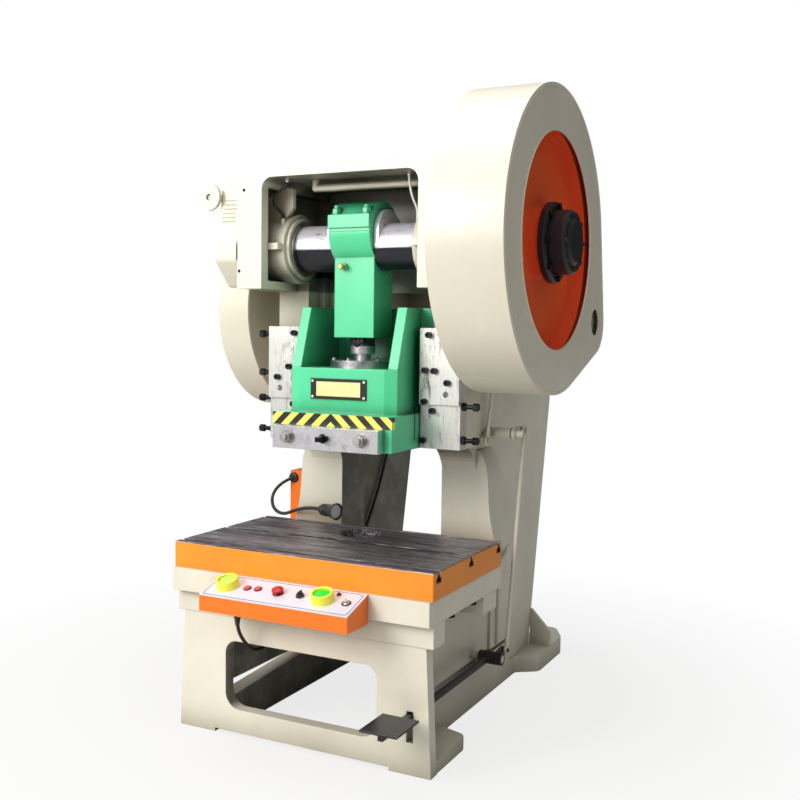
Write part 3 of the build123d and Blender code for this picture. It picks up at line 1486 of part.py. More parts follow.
with BuildPart() as ball_screw:
    with Locations((0, die_y, ball_height)):
        Sphere(ball_radius)
    disc_z(screw_core, 0, die_y, (ball_height, screw_top))
    disc_z(collar_radius, 0, die_y, (ball_height + collar_span[0], ball_height + collar_span[1]))
    hex_prism(Plane((0, die_y, rod_bottom - screw_hex_height)), screw_hex_across, screw_hex_height)
ball_screw.part.label = "ball_screw"
export_step(ball_screw.part, "parts/ball_screw.step")

with BuildPart() as oil_nipple:
    nipple_y = die_y - rod_shank_depth / 2
    for radius, length in zip(nipple_radii, nipple_lengths):
        disc_y(radius, nipple_x, (nipple_y - length, nipple_y), nipple_z)
        nipple_y -= length
oil_nipple.part.label = "oil_nipple"
export_step(oil_nipple.part, "parts/oil_nipple.step")

# Gear guard: a drum round the gear with a lobe for the pinion and an open face
guard_circles = [(die_y, guard_z, guard_radius), (shaft_y, shaft_z, pinion_radius + guard_lobe_room)]
guard_inside = [(y, z, radius - guard_wall) for y, z, radius in guard_circles]
with BuildPart() as gear_guard:
    extrude(circle_hull(side_plane(guard_near_x), guard_circles), amount=guard_far_x - guard_near_x)
    inside_span = guard_far_x - guard_near_x - 2 * guard_wall
    guard_hollow = circle_hull(side_plane(guard_near_x + guard_wall), guard_inside)
    extrude(guard_hollow, amount=inside_span, mode=Mode.SUBTRACT)
    disc_x(guard_opening_radius, (gear_x, guard_far_x + 1), die_y, guard_z, Mode.SUBTRACT)
    disc_x(guard_hole_radius, (gear_x, guard_far_x + 1), shaft_y, shaft_z, Mode.SUBTRACT)
    disc_x(hub_radius + guard_hub_room, (guard_near_x - 1, gear_near_x), die_y, crank_height, Mode.SUBTRACT)
    disc_x(shaft_radius + guard_shaft_room, (guard_near_x - 1, gear_near_x), shaft_y, shaft_z, Mode.SUBTRACT)
    for y in (head_front + guard_stub_y[0], head_back - guard_stub_y[1]):
        for z in (head_bottom + guard_stub_z[0], head_top - guard_stub_z[1]):
            disc_x(guard_stub_radius, (head_half, guard_near_x + 1), y, z)
gear_guard.part.label = "gear_guard"
export_step(gear_guard.part, "parts/gear_guard.step")

# Flywheel guard: closed drum over the flywheel, belts and motor pulley
wheel_guard_circles = [
    (wheel_guard_y, wheel_guard_z, wheel_guard_radius),
    (motor_y, motor_z, pulley_radius + wheel_guard_lobe),
]
wheel_guard_inside = [(y, z, radius - guard_wall) for y, z, radius in wheel_guard_circles]
with BuildPart() as flywheel_guard:
    wheel_guard_span = wheel_guard_near_x - wheel_guard_far_x
    extrude(circle_hull(side_plane(wheel_guard_far_x), wheel_guard_circles), amount=wheel_guard_span)
    extrude(
        circle_hull(side_plane(wheel_guard_far_x + guard_wall), wheel_guard_inside),
        amount=wheel_guard_span - 2 * guard_wall,
        mode=Mode.SUBTRACT,
    )
    plate_span = (wheel_guard_near_x - guard_wall - 1, wheel_guard_near_x + 1)
    disc_x(shaft_radius + guard_shaft_room, plate_span, shaft_y, shaft_z, Mode.SUBTRACT)
    disc_x(motor_shaft_radius + 20, plate_span, motor_y, motor_z, Mode.SUBTRACT)
    for y, z in wheel_stubs:
        disc_x(wheel_stub_radius, (wheel_guard_near_x - 1, -side_outer), shaft_y + y, shaft_z + z)
flywheel_guard.part.label = "flywheel_guard"
export_step(flywheel_guard.part, "parts/flywheel_guard.step")

# Brake at the left end of the crank: cover, band and adjuster
cover_points = [(die_y + y, crank_height + z) for y, z in cover_outline_points]
with BuildPart() as brake_cover:
    cover_outline = polygon_face(side_plane(cover_outer_x), cover_points)
    extrude(cover_outline, amount=-head_half - cover_outer_x)
    fillet(brake_cover.edges().filter_by(Axis.X), radius=cover_fillet)
    offset(amount=-cover_sheet, openings=brake_cover.faces().sort_by(Axis.X)[-1])
brake_cover.part.label = "brake_cover"
export_step(brake_cover.part, "parts/brake_cover.step")

with BuildPart() as brake_band:
    band_x = (drum_outer_x + band_inset, drum_inner_x - band_inset)
    disc_x(drum_radius + band_thickness, band_x, die_y, crank_height)
    disc_x(drum_radius + face_gap, band_x, die_y, crank_height, Mode.SUBTRACT)
    gap_y = (die_y + drum_radius - 20, die_y + drum_radius + 12)
    mouth_z = (crank_height - band_mouth, crank_height + band_mouth)
    block((band_x[0] - 1, band_x[1] + 1), gap_y, mouth_z, Mode.SUBTRACT)
    for side in (-1, 1):
        lug_z = sorted((crank_height + side * band_mouth, crank_height + side * (band_mouth + band_lug)))
        block(band_x, (die_y + drum_radius + 3, die_y + drum_radius + band_lug_reach), lug_z)
brake_band.part.label = "brake_band"
export_step(brake_band.part, "parts/brake_band.step")

with BuildPart() as brake_adjuster:
    half = adjuster_bar_half
    bar_back = die_y - adjuster_bar_back
    bar_z = (adjuster_z - half, adjuster_z + half)
    block((adjuster_x - half, cover_outer_x), (adjuster_disc_y, bar_back), bar_z)
    disc_front = adjuster_disc_y - adjuster_disc_thickness
    disc_y(adjuster_disc_radius, adjuster_x, (disc_front, adjuster_disc_y), adjuster_z)
    disc_y(12, adjuster_x, (disc_front - 1, disc_front + 8), adjuster_z, Mode.SUBTRACT)
brake_adjuster.part.label = "brake_adjuster"
export_step(brake_adjuster.part, "parts/brake_adjuster.step")

# Control box with a sloped panel
box_points = [
    (box_front, box_bottom), (box_back, box_bottom), (box_back, box_back_top), (box_front, box_front_top),
]
panel_slope = math.atan((box_back_top - box_front_top) / (box_back - box_front))
panel_plane = Plane(
    origin=(0, box_front, box_front_top),
    x_dir=(1, 0, 0),
    z_dir=(0, -math.sin(panel_slope), math.cos(panel_slope)),
)
panel_length = math.hypot(box_back_top - box_front_top, box_back - box_front)


def panel_disc(radius, x, v, low, high, mode=Mode.ADD):
    """Disc that stands square on the panel between two heights over the box top."""
    with BuildSketch(panel_plane.offset(low)) as outline:
        with Locations((x, v)):
            Circle(radius)
    extrude(outline.sketch, amount=high - low, mode=mode)


with BuildPart() as control_box:
    extrude(polygon_face(side_plane(-box_half), box_points), amount=2 * box_half)
    offset(amount=-box_sheet, openings=control_box.faces().sort_by(Axis.Z)[-1])
    disc_z(gland_radius, cable_gland_x, cable_gland_y, (box_bottom - gland_length, box_bottom))
control_box.part.label = "control_box"
export_step(control_box.part, "parts/control_box.step")

controls = [
    (palm_x_left, palm_v, palm_stem_radius), (palm_x_right, palm_v, palm_stem_radius),
    (stop_x, palm_v, stop_stem_radius), (selector_x, palm_v, knob_stem_radius),
    (key_x, palm_v, knob_stem_radius),
]
with BuildPart() as panel_plate:
    with BuildSketch(panel_plane):
        with Locations((0, panel_length / 2)):
            Rectangle(2 * box_half, panel_length)
    extrude(amount=panel_thickness)
    for x, v, radius in controls:
        panel_disc(radius + stem_gap, x, v, -1, panel_thickness + 1, Mode.SUBTRACT)
panel_plate.part.label = "panel_plate"
export_step(panel_plate.part, "parts/panel_plate.step")

with BuildPart() as palm_guards:
    for x in (palm_x_left, palm_x_right):
        guard_top = panel_thickness + palm_guard_height
        inner_radius = palm_guard_radius - palm_guard_wall
        panel_disc(palm_guard_radius, x, palm_v, panel_thickness, guard_top)
        panel_disc(inner_radius, x, palm_v, panel_thickness - 1, guard_top + 1, Mode.SUBTRACT)
palm_guards.part.label = "palm_guards"
export_step(palm_guards.part, "parts/palm_guards.step")


def push_button(x, cap_radius, stem_radius, cap_low, cap_high):
    """Button on a stem that slides through the panel."""
    with BuildPart() as button:
        panel_disc(cap_radius, x, palm_v, panel_thickness + cap_low, panel_thickness + cap_high)
        panel_disc(stem_radius, x, palm_v, -stem_depth, panel_thickness + cap_low + 1)
    return button


palm_cap_radius = palm_guard_radius - palm_guard_wall - palm_button_gap
palm_span = (palm_button_low, palm_button_high)
palm_button_left = push_button(palm_x_left, palm_cap_radius, palm_stem_radius, *palm_span)
palm_button_left.part.label = "palm_button_left"
export_step(palm_button_left.part, "parts/palm_button_left.step")
palm_button_right = push_button(palm_x_right, palm_cap_radius, palm_stem_radius, *palm_span)
palm_button_right.part.label = "palm_button_right"
export_step(palm_button_right.part, "parts/palm_button_right.step")
stop_button = push_button(stop_x, stop_radius, stop_stem_radius, stop_low, stop_high)
stop_button.part.label = "stop_button"
export_step(stop_button.part, "parts/stop_button.step")

with BuildPart() as selector_knob:
    selector_top = panel_thickness + selector_height
    panel_disc(selector_radius, selector_x, palm_v, panel_thickness + face_gap, selector_top)
    panel_disc(knob_stem_radius, selector_x, palm_v, -stem_depth, panel_thickness + 1)
    with BuildSketch(panel_plane.offset(panel_thickness + selector_height - 1)) as grip:
        with Locations((selector_x, palm_v)):
            Rectangle(selector_grip[0], selector_grip[1])
    extrude(grip.sketch, amount=selector_grip[2] - selector_height + 1)
selector_knob.part.label = "selector_knob"
export_step(selector_knob.part, "parts/selector_knob.step")

with BuildPart() as key_switch:
    panel_disc(key_radius, key_x, palm_v, panel_thickness + face_gap, panel_thickness + key_height)
    panel_disc(knob_stem_radius, key_x, palm_v, -stem_depth, panel_thickness + 1)
    with BuildSketch(panel_plane.offset(panel_thickness + key_height - 1)) as grip:
        with Locations((key_x, palm_v)):
            Rectangle(key_grip[0], key_grip[1])
    extrude(grip.sketch, amount=key_grip[2] - key_height + 1)
key_switch.part.label = "key_switch"
export_step(key_switch.part, "parts/key_switch.step")

with BuildPart() as pilot_lamps:
    lamp_places = [(palm_x_left + x, palm_v + v, lamp_radius) for x, v in lamp_offsets]
    lamp_places.append((key_x + small_lamp_offset[0], palm_v + small_lamp_offset[1], small_lamp_radius))
    lamp_low = panel_thickness + lamp_base
    for x, v, radius in lamp_places:
        panel_disc(radius, x, v, panel_thickness, lamp_low)
        panel_disc(radius - lamp_bezel, x, v, lamp_low, panel_thickness + lamp_height)
pilot_lamps.part.label = "pilot_lamps"
export_step(pilot_lamps.part, "parts/pilot_lamps.step")

# Electrics cabinet on the left side plate, with its door on the outer face
with BuildPart() as cabinet:
    block(cabinet_x, cabinet_y, cabinet_z)
    inner_x = (cabinet_x[0] - 1, cabinet_x[1] - cabinet_sheet)
    inner_y = (cabinet_y[0] + cabinet_sheet, cabinet_y[1] - cabinet_sheet)
    inner_z = (cabinet_z[0] + cabinet_sheet, cabinet_z[1] - cabinet_sheet)
    block(inner_x, inner_y, inner_z, Mode.SUBTRACT)
    for z in (cabinet_z[0] + 50, cabinet_z[1] - 110):
        hinge_z = (z, z + hinge_height)
        disc_z(hinge_radius, hinge_x, hinge_y, hinge_z)
        block((hinge_x, cabinet_x[0] + cabinet_sheet), (cabinet_y[1] - 0.1, hinge_y + 3), hinge_z)
        block((cabinet_x[1] - 1, -side_outer), (cabinet_y[1] - 80, cabinet_y[1] - 20), hinge_z)
cabinet.part.label = "cabinet"
export_step(cabinet.part, "parts/cabinet.step")

with BuildPart() as cabinet_door:
    door_x = (cabinet_x[0] - cabinet_sheet - face_gap, cabinet_x[0] - face_gap)
    block(door_x, (cabinet_y[0] + 2, cabinet_y[1] - 1), (cabinet_z[0] + 2, cabinet_z[1] - 2))
    for z in (cabinet_z[0] + 80 + face_gap, cabinet_z[1] - 80 + face_gap):
        disc_z(hinge_radius, hinge_x, hinge_y, (z, z + hinge_height))
        block(door_x, (cabinet_y[1] - 2, hinge_y), (z, z + hinge_height))
    handle_x = (door_x[0] - handle_length, door_x[0] + 1)
    disc_x(handle_radius, handle_x, cabinet_y[0] + handle_inset, (cabinet_z[0] + cabinet_z[1]) / 2)
cabinet_door.part.label = "cabinet_door"
export_step(cabinet_door.part, "parts/cabinet_door.step")


def bent_tube(points, radius, bends):
    """Round bar swept along straight runs joined by tangent arcs."""
    with BuildLine(mode=Mode.PRIVATE) as route:
        FilletPolyline(*points, radius=bends)
    start = Plane(origin=route.line @ 0, z_dir=route.line % 0)
    with BuildSketch(start, mode=Mode.PRIVATE) as section:
        Circle(radius)
    sweep(section.sketch, path=route.line)


# Work lamp on a bent arm from the cabinet
with BuildPart() as lamp_arm:
    lamp_boss_y = (cabinet_y[0] - lamp_boss_height, cabinet_y[0])
    disc_y(lamp_boss_radius, lamp_points[0][0], lamp_boss_y, lamp_points[0][2])
    bent_tube(lamp_points, lamp_arm_radius, lamp_bends)
lamp_arm.part.label = "lamp_arm"
export_step(lamp_arm.part, "parts/lamp_arm.step")

lamp_tip = Vector(*lamp_points[-1])
lamp_axis = (lamp_tip - Vector(*lamp_points[-2])).normalized()
with BuildPart() as lamp_head:
    for start, radius, end_radius, length in lamp_cones:
        with Locations(Plane(origin=lamp_tip + lamp_axis * start, z_dir=lamp_axis).location):
            Cone(radius, end_radius + 0.01, length, align=(Align.CENTER, Align.CENTER, Align.MIN))
lamp_head.part.label = "lamp_head"
export_step(lamp_head.part, "parts/lamp_head.step")

# Oil pipes from the head down to the crank bearings
with BuildPart() as oil_pipes:
    for points, radius in ((left_oil_points, oil_pipe_radius), (right_oil_points, pale_pipe_radius)):
        bent_tube(points, radius, oil_bend)
        flange_z = (window_top - oil_flange_height, window_top)
        disc_z(radius + oil_flange, points[0][0], points[0][1], flange_z)
oil_pipes.part.label = "oil_pipes"
export_step(oil_pipes.part, "parts/oil_pipes.step")


def arc_radii(points):
    """Bend radius at each corner: as large as the two runs beside it allow."""
    radii = []
    for before, corner, after in zip(points, points[1:], points[2:]):
        first = Vector(*corner) - Vector(*before)
        second = Vector(*after) - Vector(*corner)
        half_turn = math.radians(first.get_angle(second) / 2)
        radii.append(0.45 * min(first.length, second.length) / math.tan(half_turn))
    return radii


def cord_part(points, radius):
    """Cable along its route, with the bends that the route allows."""
    radii = arc_radii(points)
    print("cable radii", [round(value) for value in radii])
    with BuildPart() as cord:
        bent_tube(points, radius, radii)
    return cord


# Cables: from the control box into the bed, and down the inside of the left side plate
control_cable = cord_part(control_cable_points, control_cable_radius)
control_cable.part.label = "control_cable"
export_step(control_cable.part, "parts/control_cable.step")
throat_cable = cord_part(throat_cable_points, throat_cable_radius)
throat_cable.part.label = "throat_cable"
export_step(throat_cable.part, "parts/throat_cable.step")

# Pedal and the rods that carry its pull up to the clutch latch
with BuildPart() as pedal_lever:
    hub_start = pedal_pin_end - pedal_hub_length
    disc_x(pedal_hub_radius, (hub_start, pedal_pin_end), pedal_y, pedal_z)
    half = pedal_bar_height / 2
    bar_end = pedal_tip_y + 5
    bar_points = [
        (pedal_y, pedal_z + half), (pedal_y, pedal_z - half), (bar_end, pedal_z - pedal_bar_fall - half),
        (bar_end, pedal_z - pedal_bar_fall + half),
    ]
    extrude(polygon_face(side_plane(pedal_bar_x), bar_points), amount=pedal_bar_width)
    pad_x = (pedal_bar_x - pad_side[0], pedal_bar_x + pad_side[1])
    block(pad_x, (pedal_tip_y, pad_back), (pedal_z + pad_lift, pedal_z + pad_lift + pad_thickness))
    arm_circles = [(pedal_y, pedal_z, pedal_hub_radius), (*rear_low, arm_end_radius)]
    extrude(circle_hull(side_plane(pedal_arm_x), arm_circles), amount=arm_thickness)
    disc_x(pull_pin_radius, (pedal_arm_x, pedal_arm_x + pull_pin_length), *rear_low)
    hub_bore = (hub_start - 1, pedal_pin_end + 1)
    disc_x(pedal_pin_radius + running_gap, hub_bore, pedal_y, pedal_z, Mode.SUBTRACT)
pedal_lever.part.label = "pedal_lever"
export_step(pedal_lever.part, "parts/pedal_lever.step")


def pull_rod(low_eye_x, low, high_eye_x, high, radius):
    """Rod between two eyes, each with room for its pin to swing."""
    with BuildPart() as rod:
        middle = eye_thickness / 2
        start = Vector(low_eye_x + middle, low[0], low[1] + 12)
        end = Vector(high_eye_x + middle, high[0], high[1] - 12)
        with Locations(Plane(origin=start, z_dir=end - start).location):
            Cylinder(radius, (end - start).length, align=(Align.CENTER, Align.CENTER, Align.MIN))
        for eye_x, place in ((low_eye_x, low), (high_eye_x, high)):
            disc_x(eye_radius, (eye_x, eye_x + eye_thickness), *place)
        for eye_x, place in ((low_eye_x, low), (high_eye_x, high)):
            hole_x = (eye_x - eye_thickness, eye_x + 2 * eye_thickness)
            disc_x(pin_clear, hole_x, *place, Mode.SUBTRACT)
    return rod


rear_pull_rod = pull_rod(
    pedal_arm_x + eye_offset, rear_low, rocker_rear_x + eye_offset, rear_high, rear_rod_radius
)
rear_pull_rod.part.label = "rear_pull_rod"
export_step(rear_pull_rod.part, "parts/rear_pull_rod.step")

with BuildPart() as rocker_bearing:
    bearing_y = (column_front + 1, rocker_y + bearing_back)
    bearing_z = (rocker_z - bearing_half, rocker_z + bearing_half)
    block((side_outer, side_outer + bearing_width), bearing_y, bearing_z)
    bearing_bore = (side_outer - 1, side_outer + bearing_width + 1)
    disc_x(rocker_radius + running_gap, bearing_bore, rocker_y, rocker_z, Mode.SUBTRACT)
rocker_bearing.part.label = "rocker_bearing"
export_step(rocker_bearing.part, "parts/rocker_bearing.step")

with BuildPart() as rocker_shaft:
    disc_x(rocker_radius, (side_outer + open_gap, rocker_end_x), rocker_y, rocker_z)
    sleeve_x = (rocker_front_x + arm_thickness + 14, rocker_rear_x - rocker_sleeve)
    disc_x(rocker_radius + rocker_sleeve, sleeve_x, rocker_y, rocker_z)
    for arm_x, place in ((rocker_front_x, upper_low), (rocker_rear_x, rear_high)):
        arm_circles = [(rocker_y, rocker_z, rocker_hub_radius), (*place, arm_end_radius)]
        extrude(circle_hull(side_plane(arm_x), arm_circles), amount=arm_thickness)
        disc_x(pull_pin_radius, (arm_x, arm_x + pull_pin_length), *place)
rocker_shaft.part.label = "rocker_shaft"
export_step(rocker_shaft.part, "parts/rocker_shaft.step")

upper_pull_rod = pull_rod(
    rocker_front_x + eye_offset, upper_low, latch_arm_x - 14, upper_high, upper_rod_radius
)
upper_pull_rod.part.label = "upper_pull_rod"
export_step(upper_pull_rod.part, "parts/upper_pull_rod.step")

with BuildPart() as clutch_latch:
    tooth = (die_y + latch_tooth[0], crank_height + latch_tooth[1], latch_tooth[2])
    for start, end in (
        ((latch_y, latch_z, latch_hub_radius), (*upper_high, arm_end_radius - 1)),
        ((latch_y, latch_z, latch_hub_radius - 2), tooth),
    ):
        extrude(circle_hull(side_plane(latch_arm_x), [start, end]), amount=arm_thickness)
    disc_x(pull_pin_radius, (latch_arm_x - 18, latch_arm_x), *upper_high)
    latch_bore = (latch_arm_x - 1, latch_arm_x + arm_thickness + 1)
    disc_x(latch_pin_radius + running_gap, latch_bore, latch_y, latch_z, Mode.SUBTRACT)
clutch_latch.part.label = "clutch_latch"
export_step(clutch_latch.part, "parts/clutch_latch.step")
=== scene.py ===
"""Looks of the stamping press: enamel, machined steel, hoses, seams and controls.

Metres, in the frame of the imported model: X to the operator's right, Y to the back, Z up.
"""
import math
import bmesh
import bpy
import numpy as np
from mathutils import Matrix, Vector


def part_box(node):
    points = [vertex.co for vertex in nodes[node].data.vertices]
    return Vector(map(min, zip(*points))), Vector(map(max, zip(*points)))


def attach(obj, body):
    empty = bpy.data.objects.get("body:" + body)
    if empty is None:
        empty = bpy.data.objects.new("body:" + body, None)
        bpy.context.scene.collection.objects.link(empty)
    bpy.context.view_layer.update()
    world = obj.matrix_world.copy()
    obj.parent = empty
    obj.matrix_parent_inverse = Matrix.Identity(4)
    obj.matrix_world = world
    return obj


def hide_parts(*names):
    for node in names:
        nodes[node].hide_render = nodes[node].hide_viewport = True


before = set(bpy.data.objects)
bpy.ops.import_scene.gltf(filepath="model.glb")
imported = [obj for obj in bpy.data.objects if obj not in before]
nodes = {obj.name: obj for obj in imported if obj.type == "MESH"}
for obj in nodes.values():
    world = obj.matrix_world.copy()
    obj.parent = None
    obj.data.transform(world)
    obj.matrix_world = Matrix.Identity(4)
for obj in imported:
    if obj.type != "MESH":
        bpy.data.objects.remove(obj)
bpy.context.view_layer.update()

# Driving places of the press, in metres
TABLE_FRONT = -0.780
TABLE_BACK = -0.206
TABLE_SIDE = 0.4985
DIE_Y = -0.337
GUARD_Z = 1.703
HEAD_FRONT = -0.535
SHAFT_Y, SHAFT_Z = 0.10637, 1.444
MOTOR_Y, MOTOR_Z = 0.470, 1.812
BOX_FRONT, BOX_FRONT_TOP = -0.928, 0.529
BOX_BACK = -0.7963
PANEL_THICKNESS = 0.003
PALM_V = 0.070
SLIDE_FRONT = -0.562
BLOCK_FRONT = -0.497

# Sizes under which a row is one point, and two points are the same
POINT, DOUBLED = 1e-7, 1e-6
LEAST_CORNER = 1e-4


# Shapes

def spin_angles(count):
    """Equal angles round a full turn."""
    return np.linspace(0, 2 * math.pi, count, endpoint=False)


def quads(rows, columns, around, start=0):
    """Corner numbers of every quad in a grid of points; around joins the last column to the first."""
    row = np.arange(rows - 1)[:, None]
    column = np.arange(columns if around else columns - 1)[None, :]
    after = (column + 1) % columns
    corners = np.stack([
        row * columns + column, row * columns + after,
        (row + 1) * columns + after, (row + 1) * columns + column,
    ], axis=-1)
    return (corners.reshape(-1, 4) + start).tolist()


def placed(name, data):
    """New object in the scene, at the origin and unturned."""
    thing = bpy.data.objects.new(name, data)
    bpy.context.scene.collection.objects.link(thing)
    return thing


def build(name, shells, material, body, angle=35):
    """A piece from closed shells. Each shell is a (rows, columns, 3) grid whose columns run round. Its first
    and last rows are closed by a flat face, or meet in a point, or are the same row of a hoop."""
    points, faces = [], []
    for grid in shells:
        rows, columns = grid.shape[:2]
        start = sum(len(block) for block in points)
        faces += quads(rows, columns, True, start)
        for row in (0, rows - 1):
            if np.ptp(grid[row], axis=0).max() > POINT and not np.allclose(grid[0], grid[-1]):
                faces.append([start + row * columns + k for k in range(columns)])
        points.append(grid.reshape(-1, 3))
    return mesh_piece(name, np.concatenate(points), faces, material, body, angle)


def mesh_piece(name, points, faces, material, body, angle):
    """Puts points and faces into a mesh, merges doubled points and turns every face outwards."""
    mesh = bpy.data.meshes.new(name)
    mesh.from_pydata(points.tolist(), [], faces)
    work = bmesh.new()
    work.from_mesh(mesh)
    bmesh.ops.remove_doubles(work, verts=work.verts, dist=DOUBLED)
    bmesh.ops.recalc_face_normals(work, faces=work.faces)
    work.to_mesh(mesh)
    work.free()
    mesh.shade_smooth()
    mesh.set_sharp_from_angle(angle=math.radians(angle))
    mesh.materials.append(material)
    piece = placed(name, mesh)
    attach(piece, body)
    return piece


def axes_of(direction):
    """Three unit vectors: two across the direction, and the direction itself."""
    along = np.array(direction, float) / np.linalg.norm(direction)
    helper = np.array([0.0, 0.0, 1.0]) if abs(along[2]) < 0.9 else np.array([1.0, 0.0, 0.0])
    across = np.cross(helper, along)
    across /= np.linalg.norm(across)
    return across, np.cross(along, across), along


def turned(profile, origin, direction, count=64):
    """Surface of revolution: each (radius, distance) row of the profile swept round an axis."""
    across, up, along = axes_of(direction)
    radius, distance = np.array(profile, float).T
    angle = spin_angles(count)
    ring = np.cos(angle)[None, :, None] * across + np.sin(angle)[None, :, None] * up
    return np.array(origin, float) + radius[:, None, None] * ring + distance[:, None, None] * along


def rounded_outline(half_width, half_height, radius, per_corner=8):
    """Rectangle with rounded corners: a quarter circle of the radius about each corner's centre."""
    turn = np.linspace(0, math.pi / 2, per_corner)
    parts = []
    for corner, (side, end) in enumerate(((1, 1), (-1, 1), (-1, -1), (1, -1))):
        angle = turn + corner * math.pi / 2
        parts.append(np.stack([
            side * (half_width - radius) + radius * np.cos(angle),
            end * (half_height - radius) + radius * np.sin(angle),
        ], axis=-1))
    return np.concatenate(parts)


def slab(half_width, half_height, radius, levels, origin, across, up, out, per_corner=8):
    """Plate with eased edges: its rounded outline drawn in by each level's inset, at that level's height."""
    rings = []
    for inset, height in levels:
        corner = max(radius - inset, LEAST_CORNER)
        outline = rounded_outline(half_width - inset, half_height - inset, corner, per_corner)
        flat = outline[:, :1] * np.array(across, float) + outline[:, 1:] * np.array(up, float)
        rings.append(np.array(origin, float) + flat + height * np.array(out, float))
    return np.stack(rings)


def eased(thickness, ease):
    """Levels of a plate whose top edge is rounded by ease."""
    turn = np.linspace(0, math.pi / 2, 4)
    return [(0.0, 0.0)] + [(ease * (1 - math.cos(a)), thickness - ease + ease * math.sin(a)) for a in turn]


def carried(path, outline, closed=False):
    """Profile carried along a path: at every point the outline is set across the path's direction,
    and the frame is turned only as far as the path itself turns."""
    path = np.array(path, float)
    after = np.roll(path, -1, axis=0) - path
    before = path - np.roll(path, 1, axis=0)
    if not closed:
        after[-1] = before[-1]
        before[0] = after[0]
    along = sum(step / np.linalg.norm(step, axis=1)[:, None] for step in (after, before))
    along /= np.linalg.norm(along, axis=1)[:, None]
    across = np.empty_like(along)
    across[0] = axes_of(along[0])[0]
    for k in range(1, len(path)):
        moved = across[k - 1] - along[k] * np.dot(across[k - 1], along[k])
        across[k] = moved / np.linalg.norm(moved)
    up = np.cross(along, across)
    outline = np.array(outline, float)
    if outline.ndim == 2:
        outline = np.broadcast_to(outline, (len(path),) + outline.shape)
    return path[:, None] + outline[..., :1] * across[:, None] + outline[..., 1:] * up[:, None]


def ring_outline(radius, count):
    """Circle of the given radius, as an outline to carry along a path."""
    angle = spin_angles(count)
    return radius * np.stack([np.cos(angle), np.sin(angle)], axis=-1)


def ring_tube(path, outline):
    """Closed tube round a closed path: its points, and its quads with the last row joined to the first."""
    grid = carried(path, outline, closed=True)
    rows, columns = grid.shape[:2]
    looped = np.concatenate([grid, grid[:1]])
    return looped.reshape(-1, 3), quads(rows + 1, columns, True)


def route_points(points, resolution):
    """Points along the smooth spline that a cord's route points steer."""
    curve = spline_curve("route", points, resolution)
    holder = placed("route", curve)
    mesh = bpy.data.meshes.new_from_object(holder.evaluated_get(bpy.context.evaluated_depsgraph_get()))
    line = np.empty(len(mesh.vertices) * 3)
    mesh.vertices.foreach_get("co", line)
    bpy.data.objects.remove(holder)
    bpy.data.meshes.remove(mesh)
    return line.reshape(-1, 3)


def evenly(path, step):
    """Points at equal steps along a path that the spline gave."""
    length = np.concatenate([[0], np.cumsum(np.linalg.norm(np.diff(path, axis=0), axis=1))])
    places = np.linspace(0, length[-1], int(length[-1] / step) + 1)
    return np.stack([np.interp(places, length, path[:, k]) for k in range(3)], axis=-1)


def drum_outline(first, second, x, inset, count=220):
    """Closed belt-shaped path round two circles given as (y, z, radius): two arcs and their two tangents."""
    start, end = np.array(first[:2]), np.array(second[:2])
    apart = np.linalg.norm(end - start)
    heading = math.atan2(*(end - start)[::-1])
    lean = math.acos((first[2] - second[2]) / apart)
    rows = []
    for (y, z, radius), angles in (
        (first, np.linspace(heading + lean, heading + 2 * math.pi - lean, count)),
        (second, np.linspace(heading - lean, heading + lean, count // 4)),
    ):
        reach = radius - inset
        rows += [(x, y + reach * math.cos(a), z + reach * math.sin(a)) for a in angles]
    return np.array(rows)


def spline_curve(name, points, resolution):
    """One open spline of order 3 that runs from its first control point to its last."""
    curve = bpy.data.curves.new(name, "CURVE")
    curve.dimensions = "3D"
    curve.resolution_u = resolution
    spline = curve.splines.new("NURBS")
    spline.points.add(len(points) - 1)
    for place, point in zip(spline.points, points):
        place.co = (*point, 1.0)
    spline.order_u = 3
    spline.use_endpoint_u = True
    return curve


def hose(name, points, diameter, material, body):
    """Flexible hose or cable drawn along its route with its diameter."""
    curve = spline_curve(name, points, 12)
    curve.bevel_depth = diameter / 2
    curve.bevel_resolution = 4
    curve.use_fill_caps = True
    curve.materials.append(material)
    piece = placed(name, curve)
    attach(piece, body)
    return piece


# Materials

# Rounding of cut edges, and how far an edge's normal leans where its painted highlight begins and is full
STEEL_EDGE, STEEL_LEAN, ENAMEL_LEAN = 0.0015, (0.05, 0.4), (0.03, 0.35)
CUTTER_PITCH = 0.0012
# Where painted shade sets in on the casting, from none to full: down the throat, inside its walls and the
# head's cheeks, deep into the head, in front of its back wall and above its floor
THROAT_FADE = (1.50, 1.00)
WALL_INSIDE, CHEEK_INSIDE = (0.372, 0.368), (0.374, 0.368)
HEAD_DEPTH, HEAD_BACK, HEAD_FLOOR = (-0.37, -0.27), (-0.062, -0.066), (1.540, 1.552)
LOCK_NUT_LOW = 1.3475
OUTER_NUTS = 0.08
TABLE_RIM = 0.0045
STRIPE_PITCH, STRIPE_SLOPE, STRIPE_START, STRIPE_LEVEL = 0.062, 1.05, 0.94, 1.114
PLATE_FIELD_X, PLATE_FIELD_Z, PLATE_THICKNESS = (-0.0965, 0.0805), (1.1715, 1.2225), 0.0042


def paint(colour):
    """Linear colour of an sRGB hex value."""
    parts = [int(colour[k:k + 2], 16) / 255 for k in (0, 2, 4)]
    return [c / 12.92 if c <= 0.04045 else ((c + 0.055) / 1.055) ** 2.4 for c in parts] + [1.0]


def add(tree, kind, inputs=(), **settings):
    """Adds one node with its settings. Each input gets a value, or the output that is linked into it."""
    node = tree.nodes.new(kind)
    for setting, value in settings.items():
        setattr(node, setting, value)
    for socket, value in dict(inputs).items():
        if isinstance(value, bpy.types.NodeSocket):
            tree.links.new(value, node.inputs[socket])
        else:
            node.inputs[socket].default_value = value
    return node


